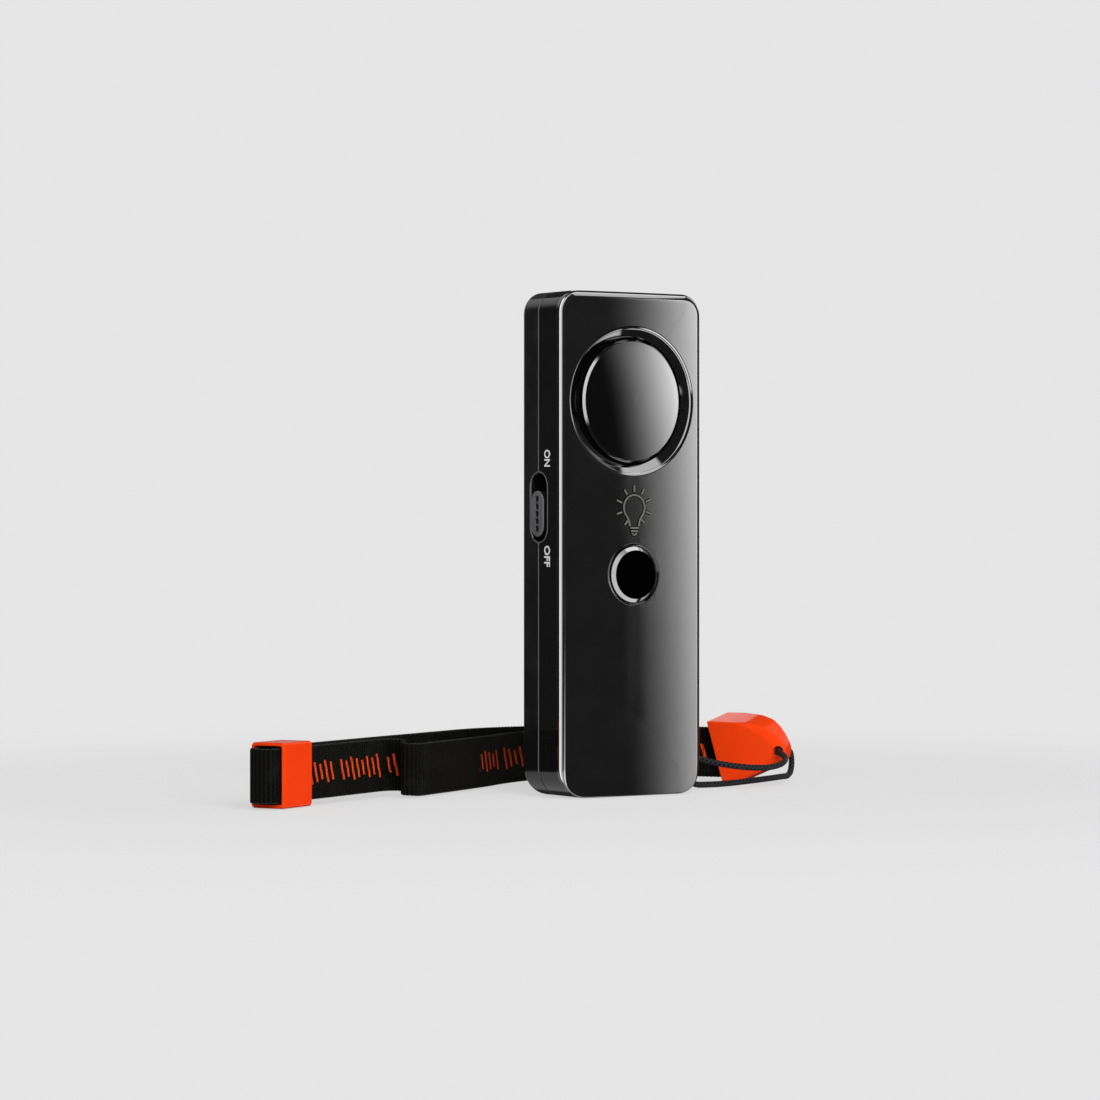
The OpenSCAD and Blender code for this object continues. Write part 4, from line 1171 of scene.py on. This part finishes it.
def make_connector():
    """Tapered connector that grips the strap's ends and carries the lanyard in its nose."""
    spin = local_frame(route_point(ROUTE_L), LINK_TURN)
    near_foot, near_top = LINK_NEAR[:5], LINK_NEAR[:3:-1]
    far_foot, far_top = LINK_FAR[:5], LINK_FAR[:3:-1]

    def section(t, shrink=0.0):
        sides = ((-1, near_foot), (-1, near_top), (1, far_top), (1, far_foot))
        corners = [link_corner(side, points, t) for side, points in sides]
        middle = sum(corners, Vector()) / 4
        corners = [c + (middle - c).normalized() * shrink for c in corners]
        grow = min(max((t - 0.3) / 0.6, 0), 1)
        ring = []
        for k, c in enumerate(corners):
            before = corners[k - 1] - c
            after = corners[(k + 1) % 4] - c
            r = 0.45 + (0.9, 2.8, 0.9, 0.9)[k] * grow * grow * (3 - 2 * grow)
            a = c + before.normalized() * min(r, 0.46 * before.length)
            b = c + after.normalized() * min(r, 0.46 * after.length)
            for i in range(9):
                u = i / 8
                ring.append(spin @ ((1 - u) ** 2 * a + 2 * u * (1 - u) * c + u * u * b))
        return ring

    rings = [section(0.0, 0.4), section(0.004, 0.12)]
    rings += [section(0.016 + 0.955 * i / 40) for i in range(41)]
    rings += [section(0.983, 0.1), section(0.99, 0.35)]
    body = solid("strap_connector_body", *loft(rings))
    slot = block("c1", (-1, -1.4, 1.0), (10, 1.4, 14.1))
    slot.data.transform(Matrix.Scale(MM, 4) @ spin @ Matrix.Scale(1 / MM, 4))
    hole = rod("c2", spin @ Vector((21, -10, 8.3)), spin @ Vector((21, 10, 8.3)), 1.25)
    cut(body, [slot, hole])
    dress(body, "accent_orange", nodes=["strap_connector"], angle=38)


# Light, floor and world: the backdrop's level, even light on the object, and the room in reflections
BACKDROP = 0.79
EVEN_LIGHT = 0.3
DIM_ROOM = 0.04


def make_floor():
    shape = bmesh.new()
    bmesh.ops.create_circle(shape, cap_ends=True, segments=96, radius=6.0)
    floor = shape_object("floor", shape)
    floor.location.z = -0.0002
    s = Shader("pale_floor", (0.74, 0.74, 0.74), 0.9)
    path = s.add("ShaderNodeLightPath")
    glow = s.add("ShaderNodeEmission")
    glow.inputs["Color"].default_value = (BACKDROP, BACKDROP, BACKDROP, 1)
    mix = s.add("ShaderNodeMixShader")
    reach = s.add("ShaderNodeVectorMath", operation="LENGTH")
    s.links.new(s.place(), reach.inputs[0])
    far = s.ramp(reach.outputs["Value"], 90.0, 330.0, 0.72, 1.0)
    s.links.new(s.math("MULTIPLY", path.outputs["Is Camera Ray"], far), mix.inputs[0])
    s.links.new(s.bsdf.outputs[0], mix.inputs[1])
    s.links.new(glow.outputs[0], mix.inputs[2])
    out = s.nodes["Material Output"]
    s.links.new(mix.outputs[0], out.inputs["Surface"])
    floor.data.materials.append(s.material)
    floor.visible_glossy = False


def make_lamp(name, place, target, size, power):
    data = bpy.data.lights.new(name, "AREA")
    data.shape = "RECTANGLE"
    data.size, data.size_y = size
    data.energy = power
    lamp = new_object(name, data)
    lamp.location = place
    lamp.rotation_euler = (Vector(target) - Vector(place)).to_track_quat("-Z", "Y").to_euler()
    lamp.visible_glossy = False
    lamp.visible_camera = False


class WorldNodes(Shader):
    """The same node helpers on the world's tree."""

    def __init__(self):
        self.world = bpy.data.worlds.new("studio")
        bpy.context.scene.world = self.world
        self.world.use_nodes = True
        self.nodes = self.world.node_tree.nodes
        self.links = self.world.node_tree.links


def make_world():
    """Pale backdrop for the camera, even light, and a studio of soft panels for reflections."""
    s = WorldNodes()
    s.world.cycles.sampling_method = "NONE"
    back = s.nodes["Background"]
    path = s.add("ShaderNodeLightPath")
    way = s.add("ShaderNodeTexCoord").outputs["Generated"]
    split = s.add("ShaderNodeSeparateXYZ")
    s.links.new(way, split.inputs[0])
    x, y, up = split.outputs
    degrees = 180 / math.pi
    turn = s.math("MULTIPLY", s.math("ARCTAN2", x, s.math("MULTIPLY", y, -1.0)), degrees)
    offset = s.add("ShaderNodeVectorMath", operation="SUBTRACT")
    s.links.new(way, offset.inputs[0])
    offset.inputs[1].default_value = (math.sin(VIEW_TURN), math.cos(VIEW_TURN), 0)
    half = s.add("ShaderNodeVectorMath", operation="NORMALIZE")
    s.links.new(offset.outputs[0], half.inputs[0])
    parts = s.add("ShaderNodeSeparateXYZ")
    s.links.new(half.outputs[0], parts.inputs[0])
    nx, ny, nz = parts.outputs
    tilt = s.math("MULTIPLY", s.math("ARCCOSINE", s.math("MULTIPLY", ny, -1.0)), degrees)
    aim = s.math("MULTIPLY", s.math("ARCTAN2", nz, nx), degrees)

    def band(value, low, high, soft):
        rise = s.ramp(value, low - soft, low + soft, 0.0, 1.0)
        return s.math("MULTIPLY", rise, s.ramp(value, high - soft, high + soft, 1.0, 0.0))

    def panel(strength, *masks):
        out = strength
        for mask in masks:
            out = s.math("MULTIPLY", mask, out)
        return out

    lean = s.math("MULTIPLY_ADD", up, 30.0, s.math("SUBTRACT", turn, 32.4))
    lean = s.math("MAXIMUM", lean, 0.0)
    right = panel(0.058, s.math("MULTIPLY", lean, lean), s.ramp(turn, 48.0, 55.0, 1.0, 0.0),
                  band(tilt, -10.0, 10.0, 1.5), band(up, -0.125, 0.125, 0.02))
    rest = s.math("SUBTRACT", 1.0, band(aim, -85.0, 25.0, 4.0))
    above = band(aim, 50.0, 130.0, 15.0)
    bevel = panel(3.1, band(tilt, 36.5, 45.5, 1.0), rest, s.math("MULTIPLY_ADD", above, -0.5, 1.0))
    leftward = s.math("ADD", band(aim, 138.0, 190.0, 5.0), band(aim, -190.0, -162.0, 5.0))
    around = s.math("SUBTRACT", band(tilt, 34.0, 57.0, 1.5), band(tilt, 36.5, 45.5, 1.0))
    edge = panel(3.1, leftward, around)
    line = panel(4.1, leftward, band(tilt, 50.0, 57.0, 1.0))
    rise = s.math("MULTIPLY", s.ramp(tilt, 91.0, 96.0, 0.0, 1.0), s.ramp(tilt, 96.0, 118.0, 1.0, 0.1))
    wall = panel(0.75, rise, s.ramp(up, -0.03, 0.06, 0.04, 1.0))
    aside = s.math("MAXIMUM", band(turn, -200.0, -105.0, 6.0), band(turn, 75.0, 150.0, 6.0))
    high = panel(0.8, s.math("SUBTRACT", 1.0, band(aim, 74.0, 116.0, 3.0)),
                 s.ramp(up, 0.25, 0.5, 0.0, 1.0), aside)
    # Strength, then the range of tilt and of aim with their softness: top, low, lip, foot and glare
    plain = ((2.6, (12.0, 44.0, 2.5), (80.0, 114.0, 2.0)), (2.3, (25.0, 40.0, 2.0), (-78.0, -40.0, 2.0)),
             (3.9, (8.0, 27.0, 2.0), (-172.0, -95.0, 4.0)), (0.5, (62.0, 105.0, 4.0), (-172.0, -125.0, 5.0)),
             (2.0, (70.0, 86.0, 2.0), (91.5, 104.0, 1.0)))
    panels = [panel(strength, band(tilt, *tilts), band(aim, *aims)) for strength, tilts, aims in plain]
    total = DIM_ROOM
    for part in (right, bevel, edge, line, wall, high, *panels):
        total = s.math("ADD", part, total)
    even = s.math("MULTIPLY", s.math("SUBTRACT", 1.0, path.outputs["Is Glossy Ray"]), EVEN_LIGHT)
    seen = s.math("MULTIPLY", path.outputs["Is Glossy Ray"], total)
    camera = s.math("MULTIPLY", path.outputs["Is Camera Ray"], BACKDROP - EVEN_LIGHT)
    s.links.new(s.math("ADD", s.math("ADD", even, seen), camera), back.inputs["Strength"])
    back.inputs["Color"].default_value = (1, 1, 1, 1)


def dress_nodes():
    """Materials for the CAD nodes that stay as they are."""
    slots = {part["node"]: part["material_slot"] for part in frame["record"]["subparts"]}
    for node, thing in frame["nodes"].items():
        if not thing.hide_render:
            thing.data.materials.clear()
            thing.data.materials.append(MATERIALS[slots[node]])


make_camera()
make_cord()
make_keeper()
make_connector()
make_strap()
make_front_shell()
make_rear_shell()
make_seam()
make_bay()
make_well()
make_cap()
make_button()
make_sign()
make_mark("mark_on", "ON", SLOT_Z + SLOT_L / 2 + 5.4, 4.0)
make_mark("mark_off", "OFF", SLOT_Z - SLOT_L / 2 - 0.9, 5.0)
make_knob()
make_door()
make_lens()
dress_nodes()
make_floor()
make_world()
make_lamp("key", (-0.22, -1.02, 0.6), (0, 0, 0.05), (0.8, 0.8), 15.0)
make_lamp("fill", (-0.75, -0.8, 0.5), (0, 0, 0.05), (0.7, 0.7), 1.0)
bpy.context.scene.view_settings.view_transform = "Standard"
